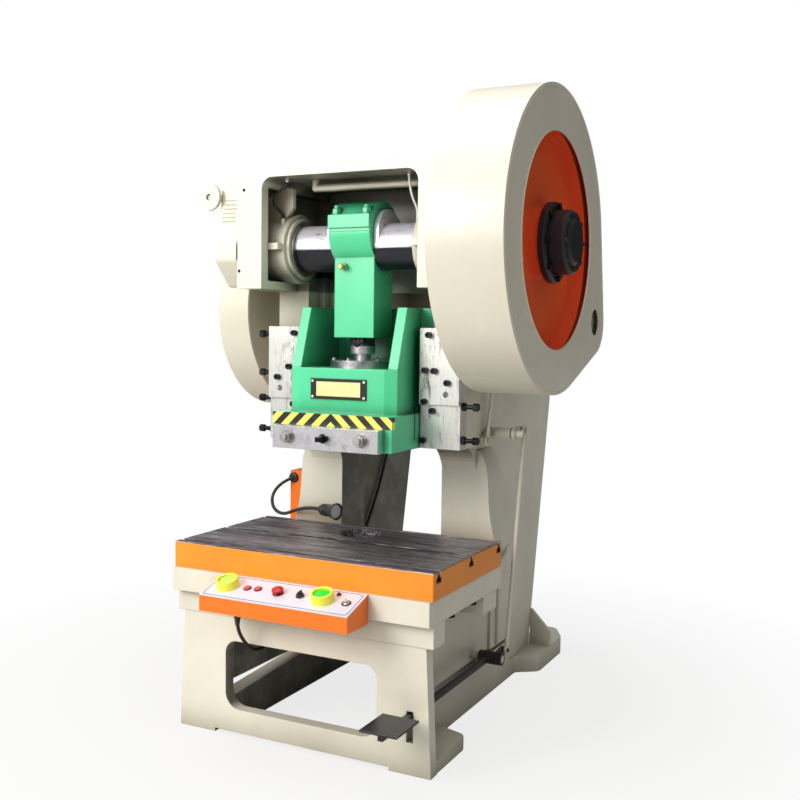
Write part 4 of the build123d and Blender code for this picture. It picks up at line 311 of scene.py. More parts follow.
class Finish:
    """A material under way: its tree, its shader and the object's own coordinates in metres."""

    def __init__(self, name, values):
        self.material = bpy.data.materials.new(name)
        self.material.use_nodes = True
        self.tree = self.material.node_tree
        self.shader = self.tree.nodes["Principled BSDF"]
        for socket, value in values.items():
            self.shader.inputs[socket].default_value = value
        self.where = self.add("ShaderNodeTexCoord").outputs["Object"]

    def add(self, kind, inputs=(), **settings):
        return add(self.tree, kind, inputs, **settings)

    def stretched(self, scale, rotation=(0.0, 0.0, 0.0)):
        """The object's coordinates, for a pattern that is drawn out where the scale is small."""
        return self.add("ShaderNodeMapping", {
            "Vector": self.where, "Scale": scale, "Rotation": rotation}).outputs[0]

    def noise(self, scale, detail, roughness=0.5, distortion=0.0, at=None):
        """Noise with about scale lumps to the metre."""
        return self.add("ShaderNodeTexNoise", {
            "Vector": self.where if at is None else at, "Scale": scale, "Detail": detail,
            "Roughness": roughness, "Distortion": distortion}).outputs[0]

    def calc(self, operation, *inputs, clamp=False):
        """Result of one sum on numbers and outputs."""
        return self.add("ShaderNodeMath", enumerate(inputs), operation=operation, use_clamp=clamp).outputs[0]

    def product(self, *shares):
        """All the shares multiplied together."""
        total = shares[0]
        for share in shares[1:]:
            total = self.calc("MULTIPLY", total, share)
        return total

    def ramp(self, source, low=0.0, high=1.0, start=0.0, end=1.0):
        """Start at low and end at high, held level beyond both."""
        return self.add("ShaderNodeMapRange", {
            "Value": source, "From Min": low, "From Max": high, "To Min": start, "To Max": end}).outputs[0]

    def mix(self, share, first, second):
        """From the first colour to the second as the share grows; each is a hex value or an output."""
        first, second = (paint(colour) if isinstance(colour, str) else colour for colour in (first, second))
        return self.add("ShaderNodeMix", {0: share, 6: first, 7: second}, data_type="RGBA").outputs[2]

    def split(self, vector=None):
        """X, Y and Z of the object's coordinates, or of another vector."""
        return list(self.add("ShaderNodeSeparateXYZ", {0: self.where if vector is None else vector}).outputs)

    def facing(self):
        """The flat face's own normal."""
        return self.add("ShaderNodeNewGeometry").outputs["True Normal"]

    def between(self, axis, low, high):
        """1 between two limits along one axis of the object."""
        place = self.split()[axis]
        return self.product(self.calc("GREATER_THAN", place, low), self.calc("LESS_THAN", place, high))

    def shade_in_corners(self, distance, clear, shut, most):
        """Painted shade in corners and recesses: none where the open share of the sky is at clear, most where
        it is at shut.
        """
        sky = self.add("ShaderNodeAmbientOcclusion", {"Distance": distance}, samples=6).outputs["AO"]
        return self.ramp(sky, clear, shut, 0.0, most)

    def rounded(self, width):
        """Normal that turns smoothly over every edge."""
        return self.add("ShaderNodeBevel", {"Radius": width}, samples=4).outputs[0]

    def edge(self, rounded, lean):
        """1 along outer and inner edges: how far a rounded normal leans from the face's own."""
        dot = self.add("ShaderNodeVectorMath", {0: rounded, 1: self.facing()}, operation="DOT_PRODUCT")
        return self.ramp(dot.outputs["Value"], 1 - lean[0], 1 - lean[1])

    def bump(self, height, distance, strength=1.0, normal=None):
        """Normal that follows a height over a base normal."""
        inputs = {"Height": height, "Distance": distance, "Strength": strength}
        return self.add("ShaderNodeBump", inputs if normal is None else inputs | {"Normal": normal}).outputs[0]

    def done(self, colour, **outputs):
        """Links the outputs into the shader and gives the material."""
        for socket, source in {"Base Color": colour, **outputs}.items():
            self.tree.links.new(source, self.shader.inputs[socket])
        return self.material


def enamel(name, coat, shade, roughness=0.3, wave=0.035, depth=0.0002, peel=0.004, corner_shade=0.55, inner_shade=False,
           ease=0.003):
    """Two-coat machine enamel sprayed over filled castings: slow waves of the filler, fine orange peel,
    clouds a shade greyer, painted shade in corners and recesses, and a painted highlight along edges."""
    skin = Finish(name, {"Roughness": roughness, "IOR": 1.5})
    clouds = skin.noise(2.6, 5.0, 0.6)
    # Painted shade: the shade colour comes in where corners and recesses hide the sky, over random clouds of
    # tone
    clouded_and_shaded = skin.calc("ADD", skin.ramp(clouds, 0.35, 0.75, 0.0, 0.22), skin.shade_in_corners(0.16, 0.85, 0.25, corner_shade),
                       clamp=True)
    rounded = skin.rounded(ease)
    # Painted highlight: edges go lighter where the rounded normal turns, broken up by noise
    wear_and_edge_highlight = skin.product(skin.edge(rounded, ENAMEL_LEAN), 0.35, skin.noise(90.0, 3.0))
    colour = skin.mix(wear_and_edge_highlight, skin.mix(clouded_and_shaded, coat, shade), "F4F1E6")
    # Painted shade: near black deep in the head, on inward faces and on undersides
    if inner_shade:
        colour = skin.mix(painted_inner_shade(skin), colour, "2B2A24")
    waves = skin.bump(skin.noise(1 / wave, 2.0), depth, 0.8, rounded)
    return skin.done(colour, Roughness=skin.ramp(clouds, start=roughness - 0.06, end=roughness + 0.12),
                     Normal=skin.bump(skin.noise(1 / peel, 1.0), depth / 8, 0.5, waves))


def painted_inner_shade(skin):
    """How black the painted shade makes the casting: deep inside the head, on the faces of the throat and
    the base that look inwards, and on undersides. Runs of noise keep the edge of the shade uneven."""
    x, y, z = skin.split()
    lean = skin.split(skin.facing())
    wide = skin.calc("ABSOLUTE", x)
    outward = skin.product(lean[0], skin.calc("SIGN", x))
    inward = skin.product(skin.ramp(outward, -0.3, -0.7), skin.ramp(z, *THROAT_FADE),
                          skin.ramp(wide, *WALL_INSIDE))
    under = skin.product(skin.ramp(lean[2], -0.5, -0.8), skin.ramp(wide, 0.40, 0.36))
    head = skin.product(skin.ramp(wide, *CHEEK_INSIDE), skin.ramp(y, *HEAD_DEPTH), skin.ramp(y, *HEAD_BACK),
                        skin.ramp(z, *HEAD_FLOOR))
    low = skin.product(skin.calc("MAXIMUM", inward, under), 0.85)
    patches = skin.ramp(skin.noise(7.0, 5.0, 0.65), 0.3, 0.6, 0.62, 0.95)
    return skin.product(skin.calc("MAXIMUM", low, head), patches)


def steel(name, bright, dull, roughness, stretch, edge_highlight_colour="F2F2F4", oil=0.35):
    """Cut steel left bare: cutter lines a millimetre apart drawn along one axis, oil and rust-blue clouds
    between, and a painted highlight along the edges."""
    skin = Finish(name, {"Metallic": 1.0, "Roughness": roughness})
    cut = skin.noise(1 / CUTTER_PITCH, 3.0, 0.7, at=skin.stretched(stretch))
    clouds = skin.ramp(skin.noise(14.0, 6.0, 0.65), 0.45, 0.75)
    dulled = skin.calc("ADD", clouds, skin.ramp(cut, 0.3, 0.7, 0.0, oil), clamp=True)
    rounded = skin.rounded(STEEL_EDGE)
    # Painted highlight: the edge colour along edges, where the rounded normal turns
    return skin.done(skin.mix(skin.edge(rounded, STEEL_LEAN), skin.mix(dulled, bright, dull), edge_highlight_colour),
                     Roughness=skin.ramp(dulled, start=roughness - 0.08, end=roughness + 0.2),
                     Normal=skin.bump(cut, 0.00008, 0.7, rounded))


def crank_finish():
    """Ground crank: pale lilac-white steel above with drawn smears, and painted shade, near black, on its
    underside.
    """
    skin = Finish("ground_crank_steel", {"Roughness": 0.3})
    wipes = skin.noise(70.0, 6.0, 0.7, at=skin.stretched((0.25, 1.0, 1.0)))
    upward = skin.calc("ADD", skin.split(skin.facing())[2], skin.calc("MULTIPLY_ADD", wipes, 0.10, -0.05))
    # Painted shade: the share named oil turns the faces that look down near black
    oil = skin.ramp(upward, -0.02, -0.12)
    clean = skin.mix(skin.ramp(wipes, 0.56, 0.66, end=0.75), "F1EEF8", "6E6880")
    return skin.done(skin.mix(oil, clean, "1B1A26"), Metallic=skin.ramp(oil, start=0.45, end=0.1),
                     Normal=skin.bump(wipes, 0.0001, 0.6, skin.rounded(STEEL_EDGE)))


def moulded(name, colour, roughness, grain=0.0006):
    """Moulded plastic or rubber: one colour through and through, with the mould's fine grain."""
    skin = Finish(name, {"Roughness": roughness, "IOR": 1.46})
    return skin.done(skin.mix(skin.ramp(skin.noise(60.0, 4.0), end=0.05), colour, "B8B4AC"),
                     Normal=skin.bump(skin.noise(1 / grain, 2.0), 0.00005, 0.5))


def gib_finish():
    """Ground gib faces: almost white where the wheel ran, black oil smeared and dragged down them in torn
    patches, thin upright grinding lines, and a painted white highlight along the edges."""
    skin = Finish("ground_and_smeared_steel", {"Roughness": 0.34})
    smear = skin.noise(46.0, 8.0, 0.78, 0.5, skin.stretched((1.0, 1.0, 0.34)))
    inward = skin.ramp(skin.calc("ABSOLUTE", skin.split()[0]), 0.37, 0.26, 0.35, 1.0)
    oil = skin.product(skin.ramp(smear, 0.52, 0.66), inward)
    ground = skin.noise(900.0, 2.0, at=skin.stretched((1.0, 1.0, 0.02)))
    colour = skin.mix(oil, skin.mix(ground, "F4F4F1", "B9B7B4"), "1D1C1E")
    rounded = skin.rounded(STEEL_EDGE)
    # Painted highlight: white along the edges
    return skin.done(skin.mix(skin.edge(rounded, STEEL_LEAN), colour, "FFFFFF"),
                     Metallic=skin.ramp(oil, start=0.55, end=0.1),
                     Normal=skin.bump(ground, 0.0001, 0.6, rounded))


def clamp_screw_finish():
    """The clamp's outer nuts are bright steel with oil in their corners; the screw between them is black."""
    skin = Finish("clamp_nuts_and_screw", {"Roughness": 0.4, "Metallic": 0.8})
    outer = skin.calc("GREATER_THAN", skin.calc("ABSOLUTE", skin.split()[0]), OUTER_NUTS)
    oil = skin.noise(70.0, 4.0)
    return skin.done(skin.mix(outer, "1B1B1D", skin.mix(oil, "D8D6D4", "5A5654")),
                     Normal=skin.bump(oil, 0.0001, normal=skin.rounded(0.001)))


def screw_finish():
    """Ball screw: bright turned collar below, lock nut above it black with grease."""
    skin = Finish("ball_screw_steel", {"Roughness": 0.34})
    nut = skin.calc("GREATER_THAN", skin.split()[2], LOCK_NUT_LOW)
    grease = skin.noise(60.0, 5.0, 0.7)
    colour = skin.mix(nut, skin.mix(grease, "ECEAEE", "6A666E"), skin.mix(grease, "111114", "3A383C"))
    return skin.done(colour, Metallic=skin.ramp(nut, start=0.8, end=0.2),
                     Normal=skin.bump(grease, 0.0001, normal=skin.rounded(STEEL_EDGE)))


def table_finish():
    """Ground grey iron table, orange enamel on its edges: the top is scored along X by sliding dies and
    stained purple-grey by oil, and painted shade darkens the slots and corners."""
    skin = Finish("ground_iron_table", {"Roughness": 0.4, "IOR": 1.5})
    skewed = skin.stretched((0.05, 1.0, 1.0), (0.0, 0.0, 0.5))
    scores = skin.noise(260.0, 4.0, 0.75, at=skin.stretched((0.03, 1.0, 1.0)))
    scratches = skin.noise(120.0, 5.0, 0.8, at=skewed)
    base = skin.mix(skin.ramp(skin.noise(9.0, 6.0, 0.7, at=skewed), 0.40, 0.58), "8A7C83", "221F24")
    lines = skin.calc("MAXIMUM", skin.ramp(scores, 0.52, 0.62), skin.ramp(scratches, 0.55, 0.64))
    iron = skin.mix(skin.product(lines, 0.75), base, "EDE6EE")
    # Painted shade: near black in the slots and corners, where little sky is seen
    iron_with_slot_shade = skin.mix(skin.shade_in_corners(0.05, 0.75, 0.2, 0.85), iron, "17151A")
    x, y, _ = skin.split()
    front = skin.calc("LESS_THAN", y, TABLE_FRONT + TABLE_RIM)
    back = skin.calc("GREATER_THAN", y, TABLE_BACK - TABLE_RIM)
    side = skin.calc("GREATER_THAN", skin.calc("ABSOLUTE", x), TABLE_SIDE)
    top = skin.calc("GREATER_THAN", skin.split(skin.facing())[2], 0.5)
    rim = skin.calc("SUBTRACT", skin.calc("MAXIMUM", skin.calc("MAXIMUM", front, back), side), top, clamp=True)
    return skin.done(skin.mix(rim, iron_with_slot_shade, skin.mix(skin.noise(5.0, 3.0), "FFA22C", "F78A1E")),
                     Metallic=skin.calc("SUBTRACT", 0.7, rim, clamp=True),
                     Normal=skin.bump(scores, 0.00015, 0.6, skin.rounded(0.003)))


def stripes_finish():
    """Yellow enamel with black slanting stripes, mirrored about the middle, where a black point shows."""
    skin = Finish("hazard_stripe_enamel", {"Roughness": 0.35, "IOR": 1.5})
    x, _, z = skin.split()
    lean = skin.calc("MULTIPLY_ADD", z, STRIPE_SLOPE, -STRIPE_LEVEL * STRIPE_SLOPE)
    along = skin.calc("ADD", skin.calc("ABSOLUTE", x), lean)
    turns = skin.calc("MULTIPLY_ADD", along, 1 / STRIPE_PITCH, STRIPE_START)
    black = skin.calc("GREATER_THAN", skin.calc("FRACT", turns), 0.5)
    wear_and_edge_highlight = skin.ramp(skin.noise(160.0, 5.0, 0.8), 0.62, 0.7, end=0.5)
    return skin.done(skin.mix(wear_and_edge_highlight, skin.mix(black, "F2EE6A", "1A1A1C"), "B9BCA8"))


def plate_finish():
    """Rating plate: printed aluminium, black border and a bare cream field, held by bright screws."""
    skin = Finish("printed_aluminium_plate", {"Roughness": 0.32, "Metallic": 0.2})
    inside = skin.product(skin.between(0, *PLATE_FIELD_X), skin.between(2, *PLATE_FIELD_Z))
    colour = skin.mix(inside, "26261F", skin.mix(skin.noise(25.0, 5.0), "FBF0BE", "EBD98F"))
    flat = skin.between(1, BLOCK_FRONT - PLATE_THICKNESS, BLOCK_FRONT)
    return skin.done(skin.mix(skin.calc("SUBTRACT", 1.0, flat, clamp=True), colour, "E8E8E4"))


def panel_finish():
    """Anodised aluminium panel, brushed along X, faintly lilac under clear varnish."""
    skin = Finish("anodised_panel", {"Roughness": 0.36, "Metallic": 0.15})
    brushed = skin.noise(900.0, 2.0, at=skin.stretched((0.02, 1.0, 1.0)))
    return skin.done(skin.mix(brushed, "F3F0FA", "D8D4E4"), Normal=skin.bump(brushed, 0.00005))


cream_casting = enamel("cream_enamel_on_casting", "EAE6D6", "8F8670", corner_shade=0.75, ease=0.004)
cream_frame = enamel("cream_enamel_on_frame", "EAE6D6", "877E69", corner_shade=0.85, inner_shade=True, ease=0.004)
cream_sheet = enamel("cream_enamel_on_sheet", "EBE6D6", "A59B84", roughness=0.26, wave=0.12, depth=0.0005,
                     peel=0.003, corner_shade=0.4)
green_casting = enamel("green_enamel_on_casting", "5CE0A6", "125C3D", roughness=0.26, wave=0.03, depth=0.0003,
                       corner_shade=0.9, ease=0.007)
orange_sheet = enamel("orange_enamel_on_sheet", "FC7C16", "D24E18", roughness=0.28, wave=0.08, depth=0.0003,
                      corner_shade=0.5)
red_casting = enamel("red_enamel_on_gear", "FF6530", "E04A1E", roughness=0.22, wave=0.02, depth=0.0004,
                     corner_shade=0.35)
black_enamel = enamel("black_enamel_on_steel", "232228", "0E0D10", roughness=0.34, wave=0.02, depth=0.0002,
                      corner_shade=0.4)
grey_enamel = enamel("grey_enamel_on_motor", "6F7C80", "3C4548", roughness=0.36, wave=0.012, depth=0.0004)

turned_steel = steel("turned_steel", "E2E2E8", "8C8A94", 0.24, (1.0, 0.02, 0.02))
ground_steel = steel("ground_steel", "E6E6EA", "9A98A2", 0.32, (1.0, 1.0, 0.03))
oily_steel = steel("oily_cap_steel", "D9D7DC", "18171B", 0.34, (0.3, 0.3, 1.0), oil=0.5)
black_steel = steel("blackened_steel", "3A3A40", "17171A", 0.42, (1.0, 1.0, 1.0), "8A8A90")
bronze = steel("turned_bronze", "C9A15E", "7B5C2C", 0.34, (0.03, 1.0, 1.0), "E3C68C")
bush_iron = steel("grey_iron_bush", "A9A49C", "4E4A45", 0.4, (0.03, 1.0, 1.0), "D8D4CC")
chrome = steel("chromed_brass", "EDEDF0", "B9B9C0", 0.16, (1.0, 1.0, 1.0), oil=0.1)

black_rubber = moulded("black_rubber", "151517", 0.55)
black_moulding = moulded("black_abs", "1B1B1D", 0.4)
yellow_moulding = moulded("yellow_abs", "F8F648", 0.3)
pale_green_moulding = moulded("pale_green_abs", "C8E86C", 0.3)
green_moulding = moulded("green_abs", "1FE034", 0.28)
red_moulding = moulded("red_abs", "C40A1C", 0.26)
pink_lens = moulded("pink_red_lens", "F4505A", 0.16)
dark_red_lens = moulded("dark_red_lens", "7A0E1A", 0.2)
white_moulding = moulded("white_mark", "F2F2EE", 0.4)
brown_lacquer = moulded("brown_lacquered_ring", "5A2A20", 0.3)
lining = moulded("woven_brake_lining", "4A3F34", 0.8, grain=0.0015)

stripes = stripes_finish()

NODE_FINISH = {
    cream_frame: ["c_frame", "base_frame"],
    cream_casting: ["motor_plate", "rocker_bearing", "rear_pull_rod", "rocker_shaft", "upper_pull_rod",
                    "brake_adjuster"],
    cream_sheet: ["gear_guard", "flywheel_guard", "brake_cover"],
    green_casting: ["pitman", "pitman_cap", "pitman_bolts", "slide"],
    orange_sheet: ["control_box", "cabinet", "cabinet_door"],
    red_casting: ["main_gear"],
    black_enamel: ["clutch_flange", "crank_end_cap", "pedal_lever", "lamp_head"],
    grey_enamel: ["motor", "flywheel"],
    crank_finish(): ["crankshaft"],
    turned_steel: ["brake_drum", "countershaft", "pinion", "motor_pulley", "knockout_bar", "clutch_latch"],
    oily_steel: ["ball_cap"],
    screw_finish(): ["ball_screw"],
    ground_steel: ["die_clamp", "key_switch"],
    gib_finish(): ["gib_left", "gib_right"],
    black_steel: ["bolster_bolts", "gib_screws", "gib_adjusters", "clutch_bolts"],
    clamp_screw_finish(): ["clamp_screws"],
    bush_iron: ["bearing_bushes"],
    bronze: ["oil_nipple"],
    table_finish(): ["bolster"],
    plate_finish(): ["nameplate"],
    panel_finish(): ["panel_plate"],
    black_rubber: ["drive_belts", "control_cable", "throat_cable"],
    black_moulding: ["oil_pipes", "lamp_arm", "selector_knob"],
    yellow_moulding: ["palm_guards"],
    green_moulding: ["palm_button_left", "palm_button_right"],
    red_moulding: ["stop_button", "pilot_lamps"],
    lining: ["brake_band"],
}
for material, names in NODE_FINISH.items():
    for name in names:
        nodes[name].material_slots[0].material = material


# Camera and light

FOCAL_PIXELS, PHOTO_PIXELS, SENSOR = 1029.6, 800, 36.0
CAMERA_PLACE = (1.8016, -3.6149, 1.4039)
YAW, PITCH, ROLL = math.radians(26.7), math.radians(-3.84), math.radians(0.77)
looking = Vector((-math.sin(YAW) * math.cos(PITCH), math.cos(YAW) * math.cos(PITCH), math.sin(PITCH)))
level = Vector((math.cos(YAW), math.sin(YAW), 0))
upright = level.cross(looking)
right = math.cos(ROLL) * level + math.sin(ROLL) * upright
top = -math.sin(ROLL) * level + math.cos(ROLL) * upright
lens = bpy.data.cameras.new("camera")
lens.sensor_width = SENSOR
lens.sensor_fit = "HORIZONTAL"
lens.lens = FOCAL_PIXELS / PHOTO_PIXELS * SENSOR
camera = placed("camera", lens)
camera.matrix_world = Matrix((
    *((right[k], top[k], -looking[k], CAMERA_PLACE[k]) for k in range(3)), (0, 0, 0, 1),
))
bpy.context.scene.camera = camera
bpy.context.scene.view_settings.view_transform = "Standard"


def soft_light(name, place, target, size, power, colour):
    """Square soft box pointed at a target."""
    light = bpy.data.lights.new(name, "AREA")
    light.size = size
    light.energy = power
    light.color = paint(colour)[:3]
    lamp = placed(name, light)
    lamp.location = place
    lamp.rotation_euler = (Vector(target) - Vector(place)).to_track_quat("-Z", "Y").to_euler()


soft_light("front_left_light", place=(-1.9, -4.6, 3.0), target=(0, -0.3, 1.1), size=2.2, power=158,
           colour="FFFDF6")
soft_light("top_light", place=(-0.4, -0.8, 5.0), target=(0, -0.2, 1.0), size=2.6, power=62, colour="FFFFFF")

# The room round the press: bright from the front left above, dark behind, and white to the camera
BRIGHT_SIDE = (-0.48, -0.72, 0.50)
world = bpy.data.worlds.new("studio")
world.use_nodes = True
bpy.context.scene.world = world
sky = world.node_tree
background = sky.nodes["Background"]
seen = add(sky, "ShaderNodeLightPath")
heading = add(sky, "ShaderNodeTexCoord").outputs["Generated"]
facing = add(sky, "ShaderNodeVectorMath", {0: heading, 1: BRIGHT_SIDE}, operation="DOT_PRODUCT")
room = add(sky, "ShaderNodeMapRange", {
    "Value": facing.outputs["Value"], "From Min": -0.6, "From Max": 0.8, "To Min": 0.03, "To Max": 0.84})
strength = add(sky, "ShaderNodeMix", {0: seen.outputs["Is Camera Ray"], 2: room.outputs[0], 3: 1.0},
               data_type="FLOAT")
background.inputs["Color"].default_value = (1, 1, 1, 1)
sky.links.new(strength.outputs[0], background.inputs["Strength"])


def floor_finish():
    """Pale matt floor that shows white around the press and keeps its shadow."""
    ground = Finish("pale_floor", {"Base Color": paint("C9C7C2"), "Roughness": 0.9})
    glow = ground.add("ShaderNodeEmission", {"Color": (1, 1, 1, 1), "Strength": 1.0})
    seen = ground.add("ShaderNodeLightPath").outputs["Is Camera Ray"]
    away = ground.add("ShaderNodeVectorMath", {0: ground.where}, operation="LENGTH").outputs["Value"]
    share = ground.product(seen, ground.ramp(away, 0.8, 2.2, 0.80, 1.0))
    mixed = ground.add("ShaderNodeMixShader", {0: share, 1: ground.shader.outputs[0], 2: glow.outputs[0]})
    ground.tree.links.new(mixed.outputs[0], ground.tree.nodes["Material Output"].inputs["Surface"])
    return ground.material


FLOOR_HALF, FLOOR_Z = 30, -0.0005
CORNERS = ((-1, -1), (1, -1), (1, 1), (-1, 1))
floor_mesh = bpy.data.meshes.new("floor")
floor_mesh.from_pydata([(x * FLOOR_HALF, y * FLOOR_HALF, FLOOR_Z) for x, y in CORNERS], [], [(0, 1, 2, 3)])
floor_mesh.materials.append(floor_finish())
floor = placed("floor", floor_mesh)


# Cables

CABLE = 0.012
DOWN, FORWARD = (0, 0, -1), (0, -1, 0)
control_route = [
    (-0.178, -0.856, 0.457), (-0.178, -0.856, 0.430), (-0.180, -0.845, 0.398), (-0.184, -0.815, 0.362),
    (-0.189, -0.775, 0.327), (-0.193, -0.730, 0.302), (-0.190, -0.680, 0.300), (-0.184, -0.640, 0.330),
    (-0.178, -0.604, 0.378), (-0.174, -0.588, 0.430), (-0.174, -0.588, 0.472),
]
throat_route = [
    (-0.285, 0.500, 1.140), (-0.285, 0.500, 1.050), (-0.284, 0.462, 0.962), (-0.286, 0.412, 0.864),
    (-0.285, 0.350, 0.738), (-0.284, 0.282, 0.640), (-0.286, 0.215, 0.548), (-0.285, 0.175, 0.500),
    (-0.285, 0.175, 0.443),
]


def gland(name, place, direction):
    """Cable gland: hexagon nut, then a ribbed tail that tapers down onto the cable."""
    nut = turned([(0.0, -0.001), (0.0115, -0.001), (0.0125, 0.001), (0.0125, 0.007), (0.0115, 0.009),
                  (0.0, 0.009)], place, direction, 6)
    ribs = np.linspace(0, 1, 25)
    radius = 0.0105 - 0.0037 * ribs + 0.0006 * np.cos(ribs * 2 * math.pi * 6)
    tail = turned(np.concatenate([[[0.0, 0.008]], np.stack([radius, 0.008 + 0.026 * ribs], axis=-1),
                                  [[0.0, 0.034]]]), place, direction, 20)
    return build(name, [nut, tail], black_moulding, "frame", 40)


control_glands = [gland("control_gland_box", control_route[0], DOWN),
                  gland("control_gland_bed", control_route[-1], DOWN)]
throat_glands = [gland("throat_gland_top", throat_route[0], DOWN),
                 gland("throat_gland_low", throat_route[-1], (0, 0, 1))]
control_cord = hose("control_cord", control_route, CABLE, black_rubber, "frame")
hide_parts("control_cable")
throat_cord = hose("throat_cord", throat_route, CABLE, black_rubber, "frame")
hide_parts("throat_cable")


# Pieces that stand on the sloped control panel

SLOPE_UP = np.array((0.0, 0.9548, 0.2972))
SLOPE_OUT = np.array((0.0, -0.2972, 0.9548))
PANEL_X = np.array((1.0, 0.0, 0.0))


def panel_place(x, v, height=PANEL_THICKNESS):
    """Point over the control box: x across, v up the slope from its front edge, height square to the slope."""
    return np.array((x, BOX_FRONT, BOX_FRONT_TOP)) + v * SLOPE_UP + height * SLOPE_OUT


def on_panel(name, profile, x, v, material, body, count=64):
    """Turned piece of the panel: its profile rises from the panel's face."""
    return build(name, [turned(profile, panel_place(x, v), SLOPE_OUT, count)], material, body, 30)


DOME_SHOULDER, DOME_FOOT = 0.0022, 0.0006


def dome(radius, low, high, rise, steps=8):
    """Profile of a cap with a straight flank, a rounded shoulder and a crowned face."""
    foot, flank = DOME_FOOT, high - rise - DOME_SHOULDER
    rows = [(0.0, low), (radius - foot, low), (radius, low + foot), (radius, flank)]
    for a in np.linspace(0, math.pi / 2, 4)[1:]:
        rows.append((radius - DOME_SHOULDER * (1 - math.cos(a)), flank + DOME_SHOULDER * math.sin(a)))
    for share in np.linspace(1, 0, steps)[1:]:
        rows.append(((radius - DOME_SHOULDER) * share, high - rise * share ** 2))
    return rows


def hoop(inner, outer, low, high, ease):
    """Closed profile of a ring with rounded upper edges."""
    turn = np.linspace(0, math.pi / 2, 5)
    up = [(outer - ease * (1 - math.cos(a)), high - ease * (1 - math.sin(a))) for a in turn]
    down = [(inner + ease * (1 - math.cos(a)), high - ease * (1 - math.sin(a))) for a in turn[::-1]]
    return [(inner, low), (outer, low), *up, *down, (inner, low)]


PALM_X = {"left": -0.211, "right": 0.154}
STOP_X, SELECTOR_X, KEY_X = -0.014, 0.070, 0.239
guard_profile = hoop(0.0281, 0.0378, 0.0, 0.0298, 0.0035)
palm_rings = build("palm_guard_rings", [
    turned(guard_profile, panel_place(x, PALM_V), SLOPE_OUT, 72) for x in PALM_X.values()
], yellow_moulding, "frame", 30)
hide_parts("palm_guards")
for side, colour in (("left", pale_green_moulding), ("right", green_moulding)):
    cap = on_panel("palm_cap_" + side, dome(0.0268, 0.0101, 0.0268, 0.003), PALM_X[side], PALM_V, colour,
                   "palm_" + side)
    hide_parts("palm_button_" + side)

stop_profile = [(0.0, 0.0003), (0.0058, 0.0003), (0.0058, 0.0105)] + dome(0.0197, 0.0103, 0.0218, 0.0045)[1:]
stop_cap = on_panel("stop_mushroom", stop_profile, STOP_X, PALM_V, red_moulding, "stop")
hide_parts("stop_button")
on_panel("stop_bezel", hoop(0.0125, 0.0185, 0.0, 0.0032, 0.0012), STOP_X, PALM_V, dark_red_lens, "frame")

selector_base = turned(dome(0.0128, 0.0003, 0.0118, 0.0008, 4), panel_place(SELECTOR_X, PALM_V), SLOPE_OUT, 48)
selector_grip = slab(0.0039, 0.0123, 0.0036, eased(0.0096, 0.0018), panel_place(SELECTOR_X, PALM_V, 0.0132),
                     PANEL_X, SLOPE_UP, SLOPE_OUT)
selector = build("selector_grip", [selector_base, selector_grip], black_moulding, "selector",
                 30)
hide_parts("selector_knob")
selector_mark = slab(0.0011, 0.0042, 0.0006, eased(0.0003, 0.0001),
                     panel_place(SELECTOR_X, PALM_V + 0.0070, 0.0228), PANEL_X, SLOPE_UP, SLOPE_OUT, 3)
build("selector_mark", [selector_mark], white_moulding, "selector", 30)
on_panel("selector_bezel", hoop(0.0130, 0.0158, 0.0, 0.0022, 0.0009), SELECTOR_X, PALM_V, chrome, "frame")

key_barrel = turned(dome(0.0118, 0.0003, 0.0058, 0.0006, 4), panel_place(KEY_X, PALM_V), SLOPE_OUT, 48)
key_blade = slab(0.0014, 0.0059, 0.0013, eased(0.0118, 0.001), panel_place(KEY_X, PALM_V, 0.0078), PANEL_X,
                 SLOPE_UP, SLOPE_OUT, 4)
key = build("key_and_barrel", [key_barrel, key_blade], chrome, "key", 30)
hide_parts("key_switch")
on_panel("key_bezel", hoop(0.0120, 0.0158, 0.0, 0.0034, 0.0012), KEY_X, PALM_V, brown_lacquer, "frame")

# Pilot lamps: place across and up the panel, radius, lens and name
LAMPS = [(-0.135, 0.072, 0.014, pink_lens, "left"), (-0.096, 0.076, 0.014, pink_lens, "middle"),
         (0.190, 0.112, 0.008, dark_red_lens, "small")]
lamp_rings = build(
    "pilot_lamp_rings",
    [turned(hoop(radius - 0.0028, radius - 0.0002, 0.0, 0.0039, 0.0011), panel_place(x, v), SLOPE_OUT, 48)
     for x, v, radius, *_ in LAMPS], dark_red_lens, "frame", 30)
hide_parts("pilot_lamps")
for x, v, radius, colour, side in LAMPS:
    on_panel("pilot_lens_" + side, dome(radius - 0.003, 0.0002, 0.0108, 0.0038), x, v, colour, "frame",
             48)

BORDER_INSET, BORDER_CORNER, BORDER_WIRE = 0.008, 0.008, 0.0009
SCREW_INSET_X, SCREW_INSET_V = 0.016, 0.017
low_corner, high_corner = (np.array(corner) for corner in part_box("panel_plate"))
panel_half = (high_corner[0] - low_corner[0]) / 2
panel_run = (BOX_BACK - BOX_FRONT) / SLOPE_UP[1]
border = rounded_outline(panel_half - BORDER_INSET, panel_run / 2 - BORDER_INSET, BORDER_CORNER, 8)
border_path = np.array([panel_place(x, panel_run / 2 + v, PANEL_THICKNESS + 0.0001) for x, v in border])
points, faces = ring_tube(border_path, ring_outline(BORDER_WIRE, 8))
mesh_piece("panel_border", points, faces, black_moulding, "frame", 60)
build("panel_screws", [
    turned(dome(0.0034, 0.0, 0.0018, 0.0008, 4), panel_place(x, v), SLOPE_OUT, 20)
    for x in (-panel_half + SCREW_INSET_X, panel_half - SCREW_INSET_X)
    for v in (SCREW_INSET_V, panel_run - SCREW_INSET_V)
], chrome, "frame", 30)


# Hazard band across the lower edge of the slide

BAND_HALF, BAND_LOW, BAND_HIGH, BAND_RETURN, BAND_THICK = 0.2371, 1.0715, 1.1135, 0.020, 0.0008


